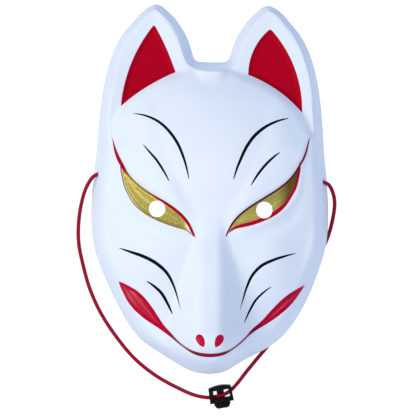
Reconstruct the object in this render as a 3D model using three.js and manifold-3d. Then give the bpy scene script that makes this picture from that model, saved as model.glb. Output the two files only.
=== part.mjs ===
// Fox mask: a thin moulded shell lying face up, with its elastic head cord and spring cord lock.
// Millimetres. +Y runs from the chin to the ears, +Z out of the face, and Z = 0 is the rim's rest plane.

import * as THREE from 'three';
import { mergeVertices } from 'three/addons/utils/BufferGeometryUtils.js';
import Module from 'manifold-3d';

const wasm = await Module();
wasm.setup();

// Overall sizes of the mask
const FACE_LENGTH = 250;
const WALL = 1.5;
const RIM_ARCH = { height: 7, cheekFrom: 14, cheekTo: 45, chinFrom: 98, chinTo: 116 };
const COLUMNS = 32;
const ROWS = 56;
const EDGE_RINGS = [0, 2, 4.5, 7.5];
const NORMAL_SMOOTHING = 7;
const CHIN_SPAN = 58;
const SETTLING_ROUNDS = 200;
const OUTLINE_POINTS = 1600;
const OUTLINE_SKIP = 4;
const OUTLINE_DIVISIONS = 4000;
const SLOPE_STEP = 0.4;

// Ears
const EAR_PLATE = { lowY: 60, lowZ: 34, tipY: 124, tipZ: 26 };
const EAR_TIP = [38.7, 108.2];
const EAR_TIP_ROUNDING = 1.6;
const EAR_INNER = [24.1, 76.7];
const EAR_OUTER = [60.1, 52.6];
const EAR_RECESS = { depth: 2, from: -0.4, to: 2.6 };

// How far the sides of the left and the right ear's panel bow off their chords. The right panel sits
// lower than the left one, by EAR_LEAN for each millimetre across
const EAR_BOWS = [
  { outer: 4.4, inner: 0.9, bottom: 1.7 },
  { outer: 5.9, inner: 3.9, bottom: 2.8 },
];
const EAR_LEAN = 0.025;
const EAR_BORDER = { drop: 1.2, width: 9 };
const EAR_BLEND = 2.5;

// Head dome, as the round edge that rises behind the ears
const DOME = { centreX: 8.6, centreY: 13.4, radius: 65.5, side: 67.5, rise: 2.4, footDrop: 2.2, blend: 9 };
const DOME_TOP = { narrowing: 0.89, fullX: 24 };
const DOME_END = { from: 44, length: 34, lift: 30, cornerBlend: 4 };

// Eye openings and the holes for the head cord
const EYE_HOLE = { x: 35.1, y: -13.5, radius: 5.4 };
const CORD_HOLE_RADIUS = 2.1;
const CORD_HOLES = [[-74.7, 9.3, 14], [74.6, 5.8, 14]];
const DRILL = { eyeLength: 100, eyeSides: 20, cordLength: 14, cordSides: 12 };

// Nostrils
const NOSTRIL = { x: 5.8, y: -97.7, halfWidth: 2.5, halfLength: 4.3, lean: 26, depth: 1.4, flare: 0.16 };
const NOSTRIL_EDGE = { from: 0.55, to: 1.1 };

// Forehead, cheeks and snout
const FOREHEAD_RADIUS = 112;
const CHEEK = { x: 42, halfWidth: 17, y: -52, halfLength: 24, height: 3.5 };
const SNOUT_BLEND = 5;

// Brow ridge over the eye, by the distance above the upper lid
const BROW = { height: 3.2, footFrom: -1.2, footTo: 2.6, topFrom: 3, reach: 12, outerReach: 34 };
const BROW_WIDENING = { from: 12, to: 48 };
const BROW_START = { from: 8, to: 26 };
const BROW_END = { fromX: 40, toX: 60, fromY: 22, toY: 40 };

// Eye: a groove inside the lids round a bulging middle, the roll of the lower lid and the fold under it
const EYE = { depth: 1.7, edgeFrom: -0.5, edgeTo: 1.3, cornerFrom: 10, cornerTo: 18 };
const EYE_BULGE = { height: 2, from: 0.6, to: 6.2 };
const LID_ROLL = {
  height: 1.3, offset: -2.2, width: 2.2, startFrom: 14, startTo: 24, endFrom: 57, endTo: 62,
};
const EYE_FOLD = { depth: 1.1, offset: -9, width: 4, startFrom: 16, startTo: 34, endFrom: 52, endTo: 64 };

// Mouth: a groove round the snout, opening into a spindle in a hollow at each corner
const MOUTH_GROOVE = { depth: 1.3, width: 1.1, endFrom: 59, endTo: 61 };
const MOUTH_CORNER = {
  startFrom: 24, startTo: 36, endFrom: 58, endTo: 62, fullHalfWidth: 4, leastHalfWidth: 0.3,
};
const MOUTH_HOLLOW = { depth: 2, flat: 0.25 };
const MOUTH_SPINDLE = { height: 1.6, width: 0.55 };
const MOUTH_SHIFT = 1.1;
const MOUTH_LEAN = { share: 0.21, from: 10, to: 22 };
const MOUTH_TURN = { slope: 0.041, about: 44, from: 24, to: 32 };

// Head cord and the knots at its two ends
const CORD_DIAMETER = 2.7;
const CORD_SIDES = 8;
const CORD_STEPS = 74;
const KNOT_RADIUS = 2.9;

// Cord lock, in its own frame: x along the cord, y away from the button, z up off the table
const LOCK = { x: 9, y: -139.4, turn: 10.7, thickness: 8 };
const LOCK_CORNER = { topX: 7.7, topY: 6.2, crownY: 7.5, bottomX: 8.15, bottomY: -4.1 };
const LOCK_WINDOW = { left: -5.6, right: 6, bottom: -1.3, top: 4.1 };
const LOCK_SLOT = { width: 3.4, bottom: -1.6, leftTop: 3.7, rightTop: 5.3, z: 4.3 };
const LOCK_ARCH_STEPS = 8;
const CUT_OVERRUN = 1;
const PAST_LOCK = 12;
const LOCK_SLEEVE = { halfWidth: 6, thickness: 5.4 };
const LOCK_POCKET = { halfWidth: 2.9, top: 6.2 };
const BUTTON_GAP = 0.35;
const BUTTON = { top: -3.4, shoulderY: -5.9, endY: -8.2, shoulderX: 5.6, stepX: 4.9, endX: 3.4 };
const BUTTON_STEP = { riseFromEnd: 0.8, inFromStep: 0.3, belowShoulder: 0.3 };
const HOOK = { halfWidth: 2.5, backTop: 2.6, barBottom: 2.6, barTop: 3.7, rootDepth: 0.5 };

// Outline of the rim from the dip between the ears round to the chin, right half
const HALF_OUTLINE = [
  [0, 86.2], [6, 86.3], [9.6, 86.8], [11.6, 88.4], [13, 92], [14.9, 98.2], [17.1, 103.7], [20.3, 109.1],
  [24.9, 115.6], [29.4, 120], [33.8, 123.6], [38, 125], [42.2, 123.6], [47.9, 119.4], [54, 112.4],
  [59.6, 105.8], [64.2, 98], [68.2, 88], [71.5, 76], [74.2, 60], [76.1, 41], [77.3, 24], [78.9, 9.5],
  [80, -6], [80.3, -16], [79.7, -29], [77.7, -41.3], [73, -56.5], [67.6, -70.5], [61.7, -82.2],
  [55.3, -92.2], [46, -102.3], [30.8, -112.6], [20.8, -118.6], [11, -123.3], [0, -125],
];

// How far the left and the right side of the outline are drawn in below the cheek, and where most
const DRAWN_IN = [{ by: 2.3, y: -79, width: 27 }, { by: 2, y: -116, width: 6 }];
const DRAWN_IN_START = 20;

// Profiles along the length, as [y, value]
const CROWN = [
  [-130, 30], [-118, 38], [-104, 43], [-85, 46.5], [-60, 49.5], [-30, 54], [-10, 57.5], [10, 60],
  [28, 59.5], [45, 55.5], [60, 48.5], [72, 40], [80, 32], [88, 20],
];
const SNOUT = [
  [-135, 20], [-125, 47], [-120, 60], [-115, 67.5], [-110, 72.5], [-105, 79], [-100, 83], [-95, 83.5],
  [-88, 80], [-75, 73.8], [-60, 67.5], [-42, 61.5], [-28, 57.2], [-14, 53], [0, 48], [20, 40],
];
const SNOUT_HALF_WIDTH = [[-130, 17], [-112, 15], [-96, 13], [-80, 12.5], [-50, 12], [-20, 10], [20, 10]];
const SNOUT_STEEPNESS = [[-130, 1.5], [-112, 1.6], [-96, 1.6], [-60, 1.4], [-20, 1.2], [20, 1.1]];
const SIDE_SLOPE = [
  [-130, 6.5], [-112, 6], [-90, 4.2], [-60, 3.6], [-20, 4], [20, 4.4], [60, 4.8], [130, 4.8],
];
const SIDE_ROUNDING = [
  [-130, 12], [-100, 16], [-60, 18], [-20, 15], [20, 10], [50, 5], [130, 4],
];

// Carved lines of the right half, as [x, y]
const UPPER_LID = [
  [10.4, -30.3], [13.8, -23.4], [18.6, -17.4], [25.6, -11.8], [36.8, -4.6], [45, 0.8], [52.3, 7.3],
  [58.1, 15.7], [62.5, 24.3], [65, 34.3],
];
const LOWER_LID = [
  [10.4, -30.3], [15.5, -26.4], [21.8, -24.6], [29.1, -22.3], [37.7, -18.6], [45, -13.9], [50.5, -8.7],
  [55.9, 0], [57.4, 4.8], [59.2, 14.3], [59.6, 19],
];
const MOUTH_LINE = [
  [-10.1, -105.8], [0, -107.4], [10.1, -105.8], [19.2, -101], [26.8, -94.8], [36.8, -86.5],
  [46.6, -77.2], [54.8, -69.1], [61.7, -62.6],
];
const MOUTH_HALF_WIDTH = [
  [0, 1.3], [6, 1.22], [10, 1.08], [14, 0.78], [17, 0.62], [20, 0.63], [23, 0.75], [26, 1.05], [29, 1.4],
  [32, 1.75], [35, 2.35], [38, 3], [41, 3.7], [44, 4.15], [47, 4.45], [50, 4.4], [53, 3.9], [56, 2.85],
  [59, 1.7], [61.5, 0.4],
];

// The head cord's route, from the knot inside the left hole through the lock to the right one
const CORD_ROUTE = [
  [-69.7, 9.3, 13.9], [-74.9, 9.3, 14], [-78.5, 7.7, 13.4], [-81.6, 3.7, 11], [-84.4, -2, 7],
  [-86.5, -9, 3.3], [-88, -17, 1.6], [-88.8, -28, 1.4], [-88.2, -39, 1.4], [-85.8, -50.1, 1.4],
  [-81.2, -66.3, 1.4], [-74, -82.5, 1.4], [-63.6, -98.6, 1.4], [-49.9, -114.8, 1.4],
  [-35.5, -126.2, 1.4], [-20.5, -134.4, 1.6], [-8.4, -139.3, 3], [0.9, -140.6, 4.3], [5, -140, 4.3],
  [8.9, -139.1, 4.3], [12.9, -137.4, 4.3], [16.6, -134.5, 4.3], [21.1, -129.4, 3.2],
  [26, -123.1, 1.6], [33.5, -113.8, 1.4], [40.6, -105.1, 1.4], [49.1, -91.9, 1.4],
  [58.4, -74.8, 1.4], [68.2, -56.2, 1.4], [75.5, -41.6, 1.4], [80.4, -30.6, 1.4], [83.4, -18.5, 2],
  [84.3, -9.5, 4.6], [83, -2, 8.6], [79.4, 4.1, 12.8], [74.7, 5.8, 14], [69.5, 5.8, 13.9],
];

const PAINT = { white: 0xe8f1fb, red: 0xa51932, black: 0x14161a };
const ROUGHNESS = { paint: 0.45, elastic: 0.7, lock: 0.35 };

function ease(t) {
  const u = Math.min(Math.max(t, 0), 1);
  return u * u * (3 - 2 * u);
}

function between(value, from, to) {
  return ease((value - from) / (to - from));
}

function smoothMax(a, b, blend) {
  const h = Math.min(Math.max(0.5 + 0.5 * (a - b) / blend, 0), 1);
  return b + (a - b) * h + blend * h * (1 - h);
}

function smoothMin(a, b, blend) {
  return -smoothMax(-a, -b, blend);
}

// Smooth curve through [position, value] stations
function through(stations, position) {
  const last = stations.length - 1;
  const at = Math.min(Math.max(position, stations[0][0]), stations[last][0]);
  let i = 0;
  while (i < last - 1 && at >= stations[i + 1][0]) {
    i += 1;
  }
  const tangent = (k) => {
    const before = stations[Math.max(k - 1, 0)];
    const after = stations[Math.min(k + 1, last)];
    return (after[1] - before[1]) / (after[0] - before[0]);
  };
  const span = stations[i + 1][0] - stations[i][0];
  const t = (at - stations[i][0]) / span;
  const t2 = t * t;
  const t3 = t2 * t;
  return (2 * t3 - 3 * t2 + 1) * stations[i][1] + (t3 - 2 * t2 + t) * span * tangent(i)
    + (3 * t2 - 2 * t3) * stations[i + 1][1] + (t3 - t2) * span * tangent(i + 1);
}

// An open line of the face, sampled every step along x
function sampledLine(stations, step) {
  const start = stations[0][0];
  const end = stations[stations.length - 1][0];
  const count = Math.ceil((end - start) / step);
  const line = [];
  for (let i = 0; i <= count; i += 1) {
    const x = start + (end - start) * i / count;
    line.push([x, through(stations, x)]);
  }
  return line;
}

// Nearest distance to a line's segments, positive on the left of the line as it runs
function sideOf(line, x, y, closed = false) {
  return nearestOn(line, x, y, closed).offset;
}

// The same distance, with the x of the line's nearest point
function nearestOn(line, x, y, closed = false) {
  let best = Infinity;
  let side = 1;
  let nearestX = line[0][0];
  const count = closed ? line.length : line.length - 1;
  for (let i = 0; i < count; i += 1) {
    const [ax, ay] = line[i];
    const [bx, by] = line[(i + 1) % line.length];
    const dx = bx - ax;
    const dy = by - ay;
    const t = Math.min(Math.max(((x - ax) * dx + (y - ay) * dy) / (dx * dx + dy * dy), 0), 1);
    const distance = Math.hypot(x - ax - t * dx, y - ay - t * dy);
    if (distance < best - 1e-9) {
      best = distance;
      side = dx * (y - ay) - dy * (x - ax) >= 0 ? 1 : -1;
      nearestX = ax + t * dx;
    }
  }
  return { offset: best * side, x: nearestX };
}

// The circle through p and q whose arc stands off their chord by bow, on the left of p to q
function arcThrough(p, q, bow) {
  const chord = Math.hypot(q[0] - p[0], q[1] - p[1]);
  const radius = (chord * chord / 4 + bow * bow) / (2 * bow);
  const normal = [-(q[1] - p[1]) / chord, (q[0] - p[0]) / chord];
  const x = (p[0] + q[0]) / 2 + normal[0] * (bow - radius);
  const y = (p[1] + q[1]) / 2 + normal[1] * (bow - radius);
  return { x, y, radius };
}

const earArcs = EAR_BOWS.map((bow) => ({
  outer: arcThrough(EAR_TIP, EAR_OUTER, bow.outer),
  inner: arcThrough(EAR_INNER, EAR_TIP, bow.inner),
  bottom: arcThrough(EAR_INNER, EAR_OUTER, bow.bottom),
}));
const upperLid = sampledLine(UPPER_LID, 1);
const lowerLid = sampledLine(LOWER_LID, 1);
const mouthLine = sampledLine(MOUTH_LINE, 1.5);

// How far a point lies inside the ear's painted panel
function earInset(signedX, y) {
  const arcs = earArcs[signedX < 0 ? 0 : 1];
  const insideOf = (arc) => arc.radius - Math.hypot(Math.abs(signedX) - arc.x, y - arc.y);
  const insideTip = smoothMin(insideOf(arcs.outer), insideOf(arcs.inner), EAR_TIP_ROUNDING);
  return Math.min(insideTip, -insideOf(arcs.bottom));
}

function bump(value, centre, width) {
  return Math.exp(-(((value - centre) / width) ** 2));
}

// Forehead, cheeks, snout, brows and eyes, before the ears and the side wall
function faceSurface(x, y) {
  const cheek = CHEEK.height * bump(x, CHEEK.x, CHEEK.halfWidth) * bump(y, CHEEK.y, CHEEK.halfLength);
  const head = through(CROWN, y) - x * x / (2 * FOREHEAD_RADIUS) + cheek;
  const halfWidth = through(SNOUT_HALF_WIDTH, y);
  const fall = x ** 4 / (x ** 3 + halfWidth ** 3);
  const snout = through(SNOUT, y) - through(SNOUT_STEEPNESS, y) * fall;
  return smoothMax(head, snout, SNOUT_BLEND) + browRelief(x, y) + eyeRelief(x, y);
}

function browRelief(x, y) {
  const above = sideOf(upperLid, x, y);
  const reach = BROW.reach + BROW.outerReach * between(x, BROW_WIDENING.from, BROW_WIDENING.to);
  const foot = between(above, BROW.footFrom, BROW.footTo);
  const end = between(y, BROW_END.fromY, BROW_END.toY) * between(x, BROW_END.fromX, BROW_END.toX);
  const length = between(x, BROW_START.from, BROW_START.to) * (1 - end);
  return BROW.height * foot * (1 - between(above, BROW.topFrom, reach)) * length;
}

function lengthOf(line, x) {
  return between(x, line.startFrom, line.startTo) * (1 - between(x, line.endFrom, line.endTo));
}

function eyeRelief(x, y) {
  const aboveLowerLid = sideOf(lowerLid, x, y);
  const insideEye = Math.min(-sideOf(upperLid, x, y), aboveLowerLid);
  const corner = between(x, EYE.cornerFrom, EYE.cornerTo);
  const groove = EYE.depth * between(insideEye, EYE.edgeFrom, EYE.edgeTo);
  const bulge = EYE_BULGE.height * between(insideEye, EYE_BULGE.from, EYE_BULGE.to);
  const roll = LID_ROLL.height * bump(aboveLowerLid, LID_ROLL.offset, LID_ROLL.width) * lengthOf(LID_ROLL, x);
  const fold = EYE_FOLD.depth * bump(aboveLowerLid, EYE_FOLD.offset, EYE_FOLD.width) * lengthOf(EYE_FOLD, x);
  return roll - fold + (bulge - groove) * corner;
}

// The ear's plate with its sunken panel
function earSurface(signedX, y) {
  const tilt = (EAR_PLATE.tipZ - EAR_PLATE.lowZ) / (EAR_PLATE.tipY - EAR_PLATE.lowY);
  const plate = EAR_PLATE.lowZ + tilt * Math.max(y - EAR_PLATE.lowY, 0);
  const inset = earInset(signedX, y);
  const border = EAR_BORDER.drop * between(inset, -EAR_BORDER.width, 0);
  const panel = plate - border - EAR_RECESS.depth * between(inset, EAR_RECESS.from, EAR_RECESS.to);
  return { plate, panel };
}

// How far a point lies inside the head dome's round edge, which fades out below the ears
function domeInset(x, y) {
  const narrowing = DOME_TOP.narrowing + (1 - DOME_TOP.narrowing) * ease(x / DOME_TOP.fullX);
  const upward = Math.max(y - DOME.centreY, 0) * narrowing;
  const round = DOME.radius - Math.hypot(Math.max(x - DOME.centreX, 0), upward);
  const fade = DOME_END.lift * between(DOME_END.from - y, 0, DOME_END.length);
  return smoothMin(round, DOME.side - x, DOME_END.cornerBlend) + fade;
}

// The left corner of the mouth is wider than the right one and turned up, and both lie a little to the right
function mouthCarving(signedX, y) {
  const side = Math.sign(signedX);
  const shift = MOUTH_SHIFT * between(Math.abs(signedX), MOUTH_CORNER.startFrom, MOUTH_CORNER.startTo);
  const nearest = nearestOn(mouthLine, Math.abs(signedX - shift), y);
  const x = Math.abs(nearest.x);
  const turned = MOUTH_TURN.slope * (x - MOUTH_TURN.about) * between(x, MOUTH_TURN.from, MOUTH_TURN.to);
  const across = nearest.offset + side * turned;
  const cornerPart = lengthOf(MOUTH_CORNER, x);
  const lean = 1 - MOUTH_LEAN.share * side * between(x, MOUTH_LEAN.from, MOUTH_LEAN.to);
  const halfWidth = Math.max(lean * through(MOUTH_HALF_WIDTH, x), MOUTH_CORNER.leastHalfWidth);
  const lens = cornerPart * Math.min(halfWidth / MOUTH_CORNER.fullHalfWidth, 1);
  const grooveEnd = 1 - between(x, MOUTH_GROOVE.endFrom, MOUTH_GROOVE.endTo);
  const groove = MOUTH_GROOVE.depth * bump(across, 0, MOUTH_GROOVE.width) * (1 - cornerPart) * grooveEnd;
  const hollow = MOUTH_HOLLOW.depth * (1 - ease(Math.abs(across / halfWidth) - MOUTH_HOLLOW.flat)) * lens;
  const roundness = 1 - (across / (MOUTH_SPINDLE.width * halfWidth)) ** 2;
  return MOUTH_SPINDLE.height * Math.sqrt(Math.max(roundness, 0)) * lens - groove - hollow;
}

function nostrilCarving(x, y) {
  const lean = THREE.MathUtils.degToRad(NOSTRIL.lean);
  const dx = x - NOSTRIL.x;
  const dy = y - NOSTRIL.y;
  const u = dx * Math.cos(lean) - dy * Math.sin(lean);
  const v = dx * Math.sin(lean) + dy * Math.cos(lean);
  const reach = Math.hypot(u / (NOSTRIL.halfWidth + NOSTRIL.flare * v), v / NOSTRIL.halfLength);
  return -NOSTRIL.depth * (1 - between(reach, NOSTRIL_EDGE.from, NOSTRIL_EDGE.to));
}

// The rim lifts off the rest plane along the cheeks, where the cord passes under it
function rimHeight(y) {
  const chinEnd = between(-y, RIM_ARCH.chinFrom, RIM_ARCH.chinTo);
  return RIM_ARCH.height * between(-y, RIM_ARCH.cheekFrom, RIM_ARCH.cheekTo) * (1 - chinEnd);
}

function faceHeight(signedX, y, inset) {
  const x = Math.abs(signedX);
  const leanedY = y + EAR_LEAN * signedX;
  const ear = earSurface(signedX, leanedY);
  const domeEdge = ear.plate - DOME.footDrop + DOME.rise * domeInset(x, leanedY);
  const dome = smoothMin(faceSurface(x, y), domeEdge, DOME.blend);
  const front = smoothMax(dome, ear.panel, EAR_BLEND);
  const side = rimHeight(y) + through(SIDE_SLOPE, y) * Math.max(inset, 0);
  const skin = smoothMin(side, front, through(SIDE_ROUNDING, y));
  return skin + mouthCarving(signedX, y) + nostrilCarving(x, y);
}

// Closed outline of the rim, anticlockwise from the dip, evenly spaced and fitted to the mask's length
function rimOutline(count) {
  const left = HALF_OUTLINE.map(([x, y]) => [-x, y]);
  const right = HALF_OUTLINE.slice(1, -1).reverse();
  const points = [...left, ...right].map(([x, y]) => new THREE.Vector3(x, y, 0));
  const curve = new THREE.CatmullRomCurve3(points, true, 'centripetal');
  curve.arcLengthDivisions = OUTLINE_DIVISIONS;
  const spaced = curve.getSpacedPoints(count).slice(0, count);
  const top = Math.max(...spaced.map((p) => p.y));
  const bottom = Math.min(...spaced.map((p) => p.y));
  const fit = FACE_LENGTH / (top - bottom);
  return spaced.map((p) => {
    const y = (p.y - bottom) * fit - FACE_LENGTH / 2;
    return [p.x - drawnIn(p.x, y), y];
  });
}

function drawnIn(x, y) {
  const { by, y: middle, width } = DRAWN_IN[x < 0 ? 0 : 1];
  return Math.sign(x) * by * bump(y, middle, width) * between(Math.abs(x), 0, DRAWN_IN_START);
}

// Inward directions along the outline, evened out so that rings set in from it never cross
function inwardDirections(outline) {
  const count = outline.length;
  const normals = outline.map(([x, y], i) => {
    const before = outline[(i + count - 1) % count];
    const after = outline[(i + 1) % count];
    const length = Math.hypot(after[0] - before[0], after[1] - before[1]);
    return [-(after[1] - before[1]) / length, (after[0] - before[0]) / length];
  });
  const step = Math.hypot(outline[1][0] - outline[0][0], outline[1][1] - outline[0][1]);
  const reach = Math.ceil(3 * NORMAL_SMOOTHING / step);
  return outline.map((point, i) => {
    let sumX = 0;
    let sumY = 0;
    for (let k = -reach; k <= reach; k += 1) {
      const normal = normals[(i + k + count) % count];
      const weight = bump(k * step, 0, NORMAL_SMOOTHING * Math.SQRT2);
      sumX += weight * normal[0];
      sumY += weight * normal[1];
    }
    const length = Math.hypot(sumX, sumY);
    return [sumX / length, sumY / length];
  });
}

function pointAlong(line, place) {
  const at = ((place % line.length) + line.length) % line.length;
  const i = Math.floor(at);
  const t = at - i;
  const a = line[i];
  const b = line[(i + 1) % line.length];
  return [a[0] + t * (b[0] - a[0]), a[1] + t * (b[1] - a[1])];
}

const outline = rimOutline(OUTLINE_POINTS);
const directions = inwardDirections(outline);
const outlineStep = Math.hypot(outline[1][0] - outline[0][0], outline[1][1] - outline[0][1]);
const coarseOutline = outline.filter((point, i) => i % OUTLINE_SKIP === 0);

// The grid's corners on the outline: the two ear tips, and two points beside the chin
const leftHalf = outline.slice(0, OUTLINE_POINTS / 2);
const tipPlace = leftHalf.reduce((best, p, i) => (p[1] > leftHalf[best][1] ? i : best), 0);
const cheekPlace = outline.length / 2 - CHIN_SPAN / outlineStep;

// Place on the outline of a point on one side of the grid, from its left or lower end to the other
function placeOnSide(side, t) {
  if (side === 'top') {
    return tipPlace * (1 - 2 * t);
  }
  if (side === 'bottom') {
    return cheekPlace + (outline.length - 2 * cheekPlace) * t;
  }
  const left = cheekPlace + (tipPlace - cheekPlace) * t;
  return side === 'left' ? left : -left;
}

function edgePoint(row, column, ring, extraInset) {
  const across = (column - ring) / (COLUMNS - 2 * ring);
  const upward = (row - ring) / (ROWS - 2 * ring);
  let place;
  if (row === ROWS - ring) {
    place = placeOnSide('top', across);
  } else if (row === ring) {
    place = placeOnSide('bottom', across);
  } else {
    place = placeOnSide(column === ring ? 'left' : 'right', upward);
  }
  const [x, y] = pointAlong(outline, place);
  const [towardX, towardY] = pointAlong(directions, place);
  const inset = EDGE_RINGS[ring] + extraInset(y);
  return [x + inset * towardX, y + inset * towardY];
}

// Grid of points over the outlined shape: rings set in from the edge, and inside them a grid that
// is settled until its lines run evenly
function gridPoints(extraInset) {
  const rings = EDGE_RINGS.length - 1;
  const grid = [];
  for (let row = 0; row <= ROWS; row += 1) {
    grid.push([]);
    for (let column = 0; column <= COLUMNS; column += 1) {
      const ring = Math.min(row, column, ROWS - row, COLUMNS - column);
      grid[row].push(ring <= rings ? edgePoint(row, column, ring, extraInset) : null);
    }
  }
  const [low, rowHigh, columnHigh] = [rings, ROWS - rings, COLUMNS - rings];
  for (let row = low + 1; row < rowHigh; row += 1) {
    for (let column = low + 1; column < columnHigh; column += 1) {
      const u = (column - low) / (columnHigh - low);
      const v = (row - low) / (rowHigh - low);
      grid[row][column] = [0, 1].map((k) => (1 - u) * grid[row][low][k] + u * grid[row][columnHigh][k]
        + (1 - v) * grid[low][column][k] + v * grid[rowHigh][column][k]
        - (1 - u) * (1 - v) * grid[low][low][k] - u * (1 - v) * grid[low][columnHigh][k]
        - (1 - u) * v * grid[rowHigh][low][k] - u * v * grid[rowHigh][columnHigh][k]);
    }
  }
  for (let round = 0; round < SETTLING_ROUNDS; round += 1) {
    for (let row = low + 1; row < rowHigh; row += 1) {
      for (let column = low + 1; column < columnHigh; column += 1) {
        settle(grid, row, column);
      }
    }
  }
  return grid.flat();
}

// Moves one grid point to where the lines through it and its neighbours are smoothest
function settle(grid, row, column) {
  const [left, right] = [grid[row][column - 1], grid[row][column + 1]];
  const [below, above] = [grid[row - 1][column], grid[row + 1][column]];
  const alongX = [(right[0] - left[0]) / 2, (right[1] - left[1]) / 2];
  const alongY = [(above[0] - below[0]) / 2, (above[1] - below[1]) / 2];
  const a = alongY[0] ** 2 + alongY[1] ** 2;
  const b = alongX[0] * alongY[0] + alongX[1] * alongY[1];
  const c = alongX[0] ** 2 + alongX[1] ** 2;
  grid[row][column] = [0, 1].map((k) => {
    const twist = (grid[row + 1][column + 1][k] - grid[row + 1][column - 1][k]
      - grid[row - 1][column + 1][k] + grid[row - 1][column - 1][k]) / 4;
    return (a * (left[k] + right[k]) + c * (below[k] + above[k]) - 2 * b * twist) / (2 * (a + c));
  });
}

function solidFrom(geometry) {
  geometry.deleteAttribute('normal');
  geometry.deleteAttribute('uv');
  const merged = mergeVertices(geometry, 1e-4);
  const vertProperties = new Float32Array(merged.attributes.position.array);
  const triVerts = new Uint32Array(merged.index.array);
  return new wasm.Manifold(new wasm.Mesh({ numProp: 3, vertProperties, triVerts }));
}

function geometryFrom(solid) {
  const mesh = solid.getMesh();
  const geometry = new THREE.BufferGeometry();
  geometry.setAttribute('position', new THREE.BufferAttribute(new Float32Array(mesh.vertProperties), 3));
  geometry.setIndex(new THREE.BufferAttribute(new Uint32Array(mesh.triVerts), 1));
  return geometry;
}

// A cell's corners, turned so that it folds along the diagonal that lies closer to the face
function foldedCorners(corners, positions, heightAt) {
  const points = corners.map((i) => positions.slice(3 * i, 3 * i + 3));
  const middle = [0, 1].map((k) => points.reduce((sum, point) => sum + point[k] / 4, 0));
  const height = heightAt(middle[0], middle[1]);
  const first = Math.abs((points[0][2] + points[2][2]) / 2 - height);
  const second = Math.abs((points[1][2] + points[3][2]) / 2 - height);
  return first <= second ? corners : [corners[1], corners[2], corners[3], corners[0]];
}

// The face's front skin, its back skin a wall behind it, and the rim strip between them
function shellGeometry() {
  const heightAt = (x, y) => faceHeight(x, y, sideOf(coarseOutline, x, y, true));
  const leanOfWall = (y) => WALL * Math.hypot(1, through(SIDE_SLOPE, y)) / through(SIDE_SLOPE, y);
  const at = (row, column) => row * (COLUMNS + 1) + column;
  const rim = new Set();
  for (let row = 0; row <= ROWS; row += 1) {
    rim.add(at(row, 0)).add(at(row, COLUMNS));
  }
  for (let column = 0; column <= COLUMNS; column += 1) {
    rim.add(at(0, column)).add(at(ROWS, column));
  }

  const frontPoints = gridPoints(() => 0);
  const backPoints = gridPoints(leanOfWall);
  const positions = [];
  frontPoints.forEach(([x, y], i) => {
    positions.push(x, y, rim.has(i) ? rimHeight(y) : heightAt(x, y));
  });
  backPoints.forEach(([x, y], i) => {
    const gradientX = (heightAt(x + SLOPE_STEP, y) - heightAt(x - SLOPE_STEP, y)) / (2 * SLOPE_STEP);
    const gradientY = (heightAt(x, y + SLOPE_STEP) - heightAt(x, y - SLOPE_STEP)) / (2 * SLOPE_STEP);
    const drop = WALL * Math.hypot(1, gradientX, gradientY);
    positions.push(x, y, rim.has(i) ? rimHeight(frontPoints[i][1]) : heightAt(x, y) - drop);
  });

  const index = [];
  const back = frontPoints.length;
  for (let row = 0; row < ROWS; row += 1) {
    for (let column = 0; column < COLUMNS; column += 1) {
      const corners = [at(row, column), at(row, column + 1), at(row + 1, column + 1), at(row + 1, column)];
      const [a, b, c, d] = foldedCorners(corners, positions, heightAt);
      index.push(a, b, c, a, c, d, back + a, back + c, back + b, back + a, back + d, back + c);
    }
  }
  const rimEdges = [];
  for (let column = 0; column < COLUMNS; column += 1) {
    rimEdges.push([at(0, column), at(0, column + 1)], [at(ROWS, column + 1), at(ROWS, column)]);
  }
  for (let row = 0; row < ROWS; row += 1) {
    rimEdges.push([at(row, COLUMNS), at(row + 1, COLUMNS)], [at(row + 1, 0), at(row, 0)]);
  }
  for (const [a, b] of rimEdges) {
    index.push(b, a, back + a, b, back + a, back + b);
  }
  const geometry = new THREE.BufferGeometry();
  geometry.setAttribute('position', new THREE.Float32BufferAttribute(positions, 3));
  geometry.setIndex(index);
  return geometry;
}

function maskShell() {
  let shell = solidFrom(shellGeometry());
  for (const side of [-1, 1]) {
    const eye = new THREE.CylinderGeometry(EYE_HOLE.radius, EYE_HOLE.radius, DRILL.eyeLength, DRILL.eyeSides);
    eye.rotateX(Math.PI / 2);
    eye.translate(side * EYE_HOLE.x, EYE_HOLE.y, DRILL.eyeLength / 2);
    shell = shell.subtract(solidFrom(eye));
  }
  for (const [x, y, z] of CORD_HOLES) {
    const hole = new THREE.CylinderGeometry(
      CORD_HOLE_RADIUS, CORD_HOLE_RADIUS, DRILL.cordLength, DRILL.cordSides,
    );
    hole.rotateZ(Math.PI / 2);
    hole.translate(x, y, z);
    shell = shell.subtract(solidFrom(hole));
  }
  return geometryFrom(shell);
}

function elasticCord() {
  const route = new THREE.CatmullRomCurve3(
    CORD_ROUTE.map(([x, y, z]) => new THREE.Vector3(x, y, z)),
    false,
    'centripetal',
  );
  const section = new THREE.Shape();
  for (let i = 0; i <= CORD_SIDES; i += 1) {
    const angle = i / CORD_SIDES * 2 * Math.PI;
    const x = CORD_DIAMETER / 2 * Math.cos(angle);
    const y = CORD_DIAMETER / 2 * Math.sin(angle);
    if (i === 0) {
      section.moveTo(x, y);
    } else if (i < CORD_SIDES) {
      section.lineTo(x, y);
    } else {
      section.closePath();
    }
  }
  const tube = new THREE.ExtrudeGeometry(section, { steps: CORD_STEPS, extrudePath: route });
  let cord = solidFrom(tube);
  for (const end of [CORD_ROUTE[0], CORD_ROUTE[CORD_ROUTE.length - 1]]) {
    const knot = new THREE.IcosahedronGeometry(KNOT_RADIUS, 1);
    knot.translate(end[0], end[1], end[2]);
    cord = cord.add(solidFrom(knot));
  }
  return geometryFrom(cord);
}

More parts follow.
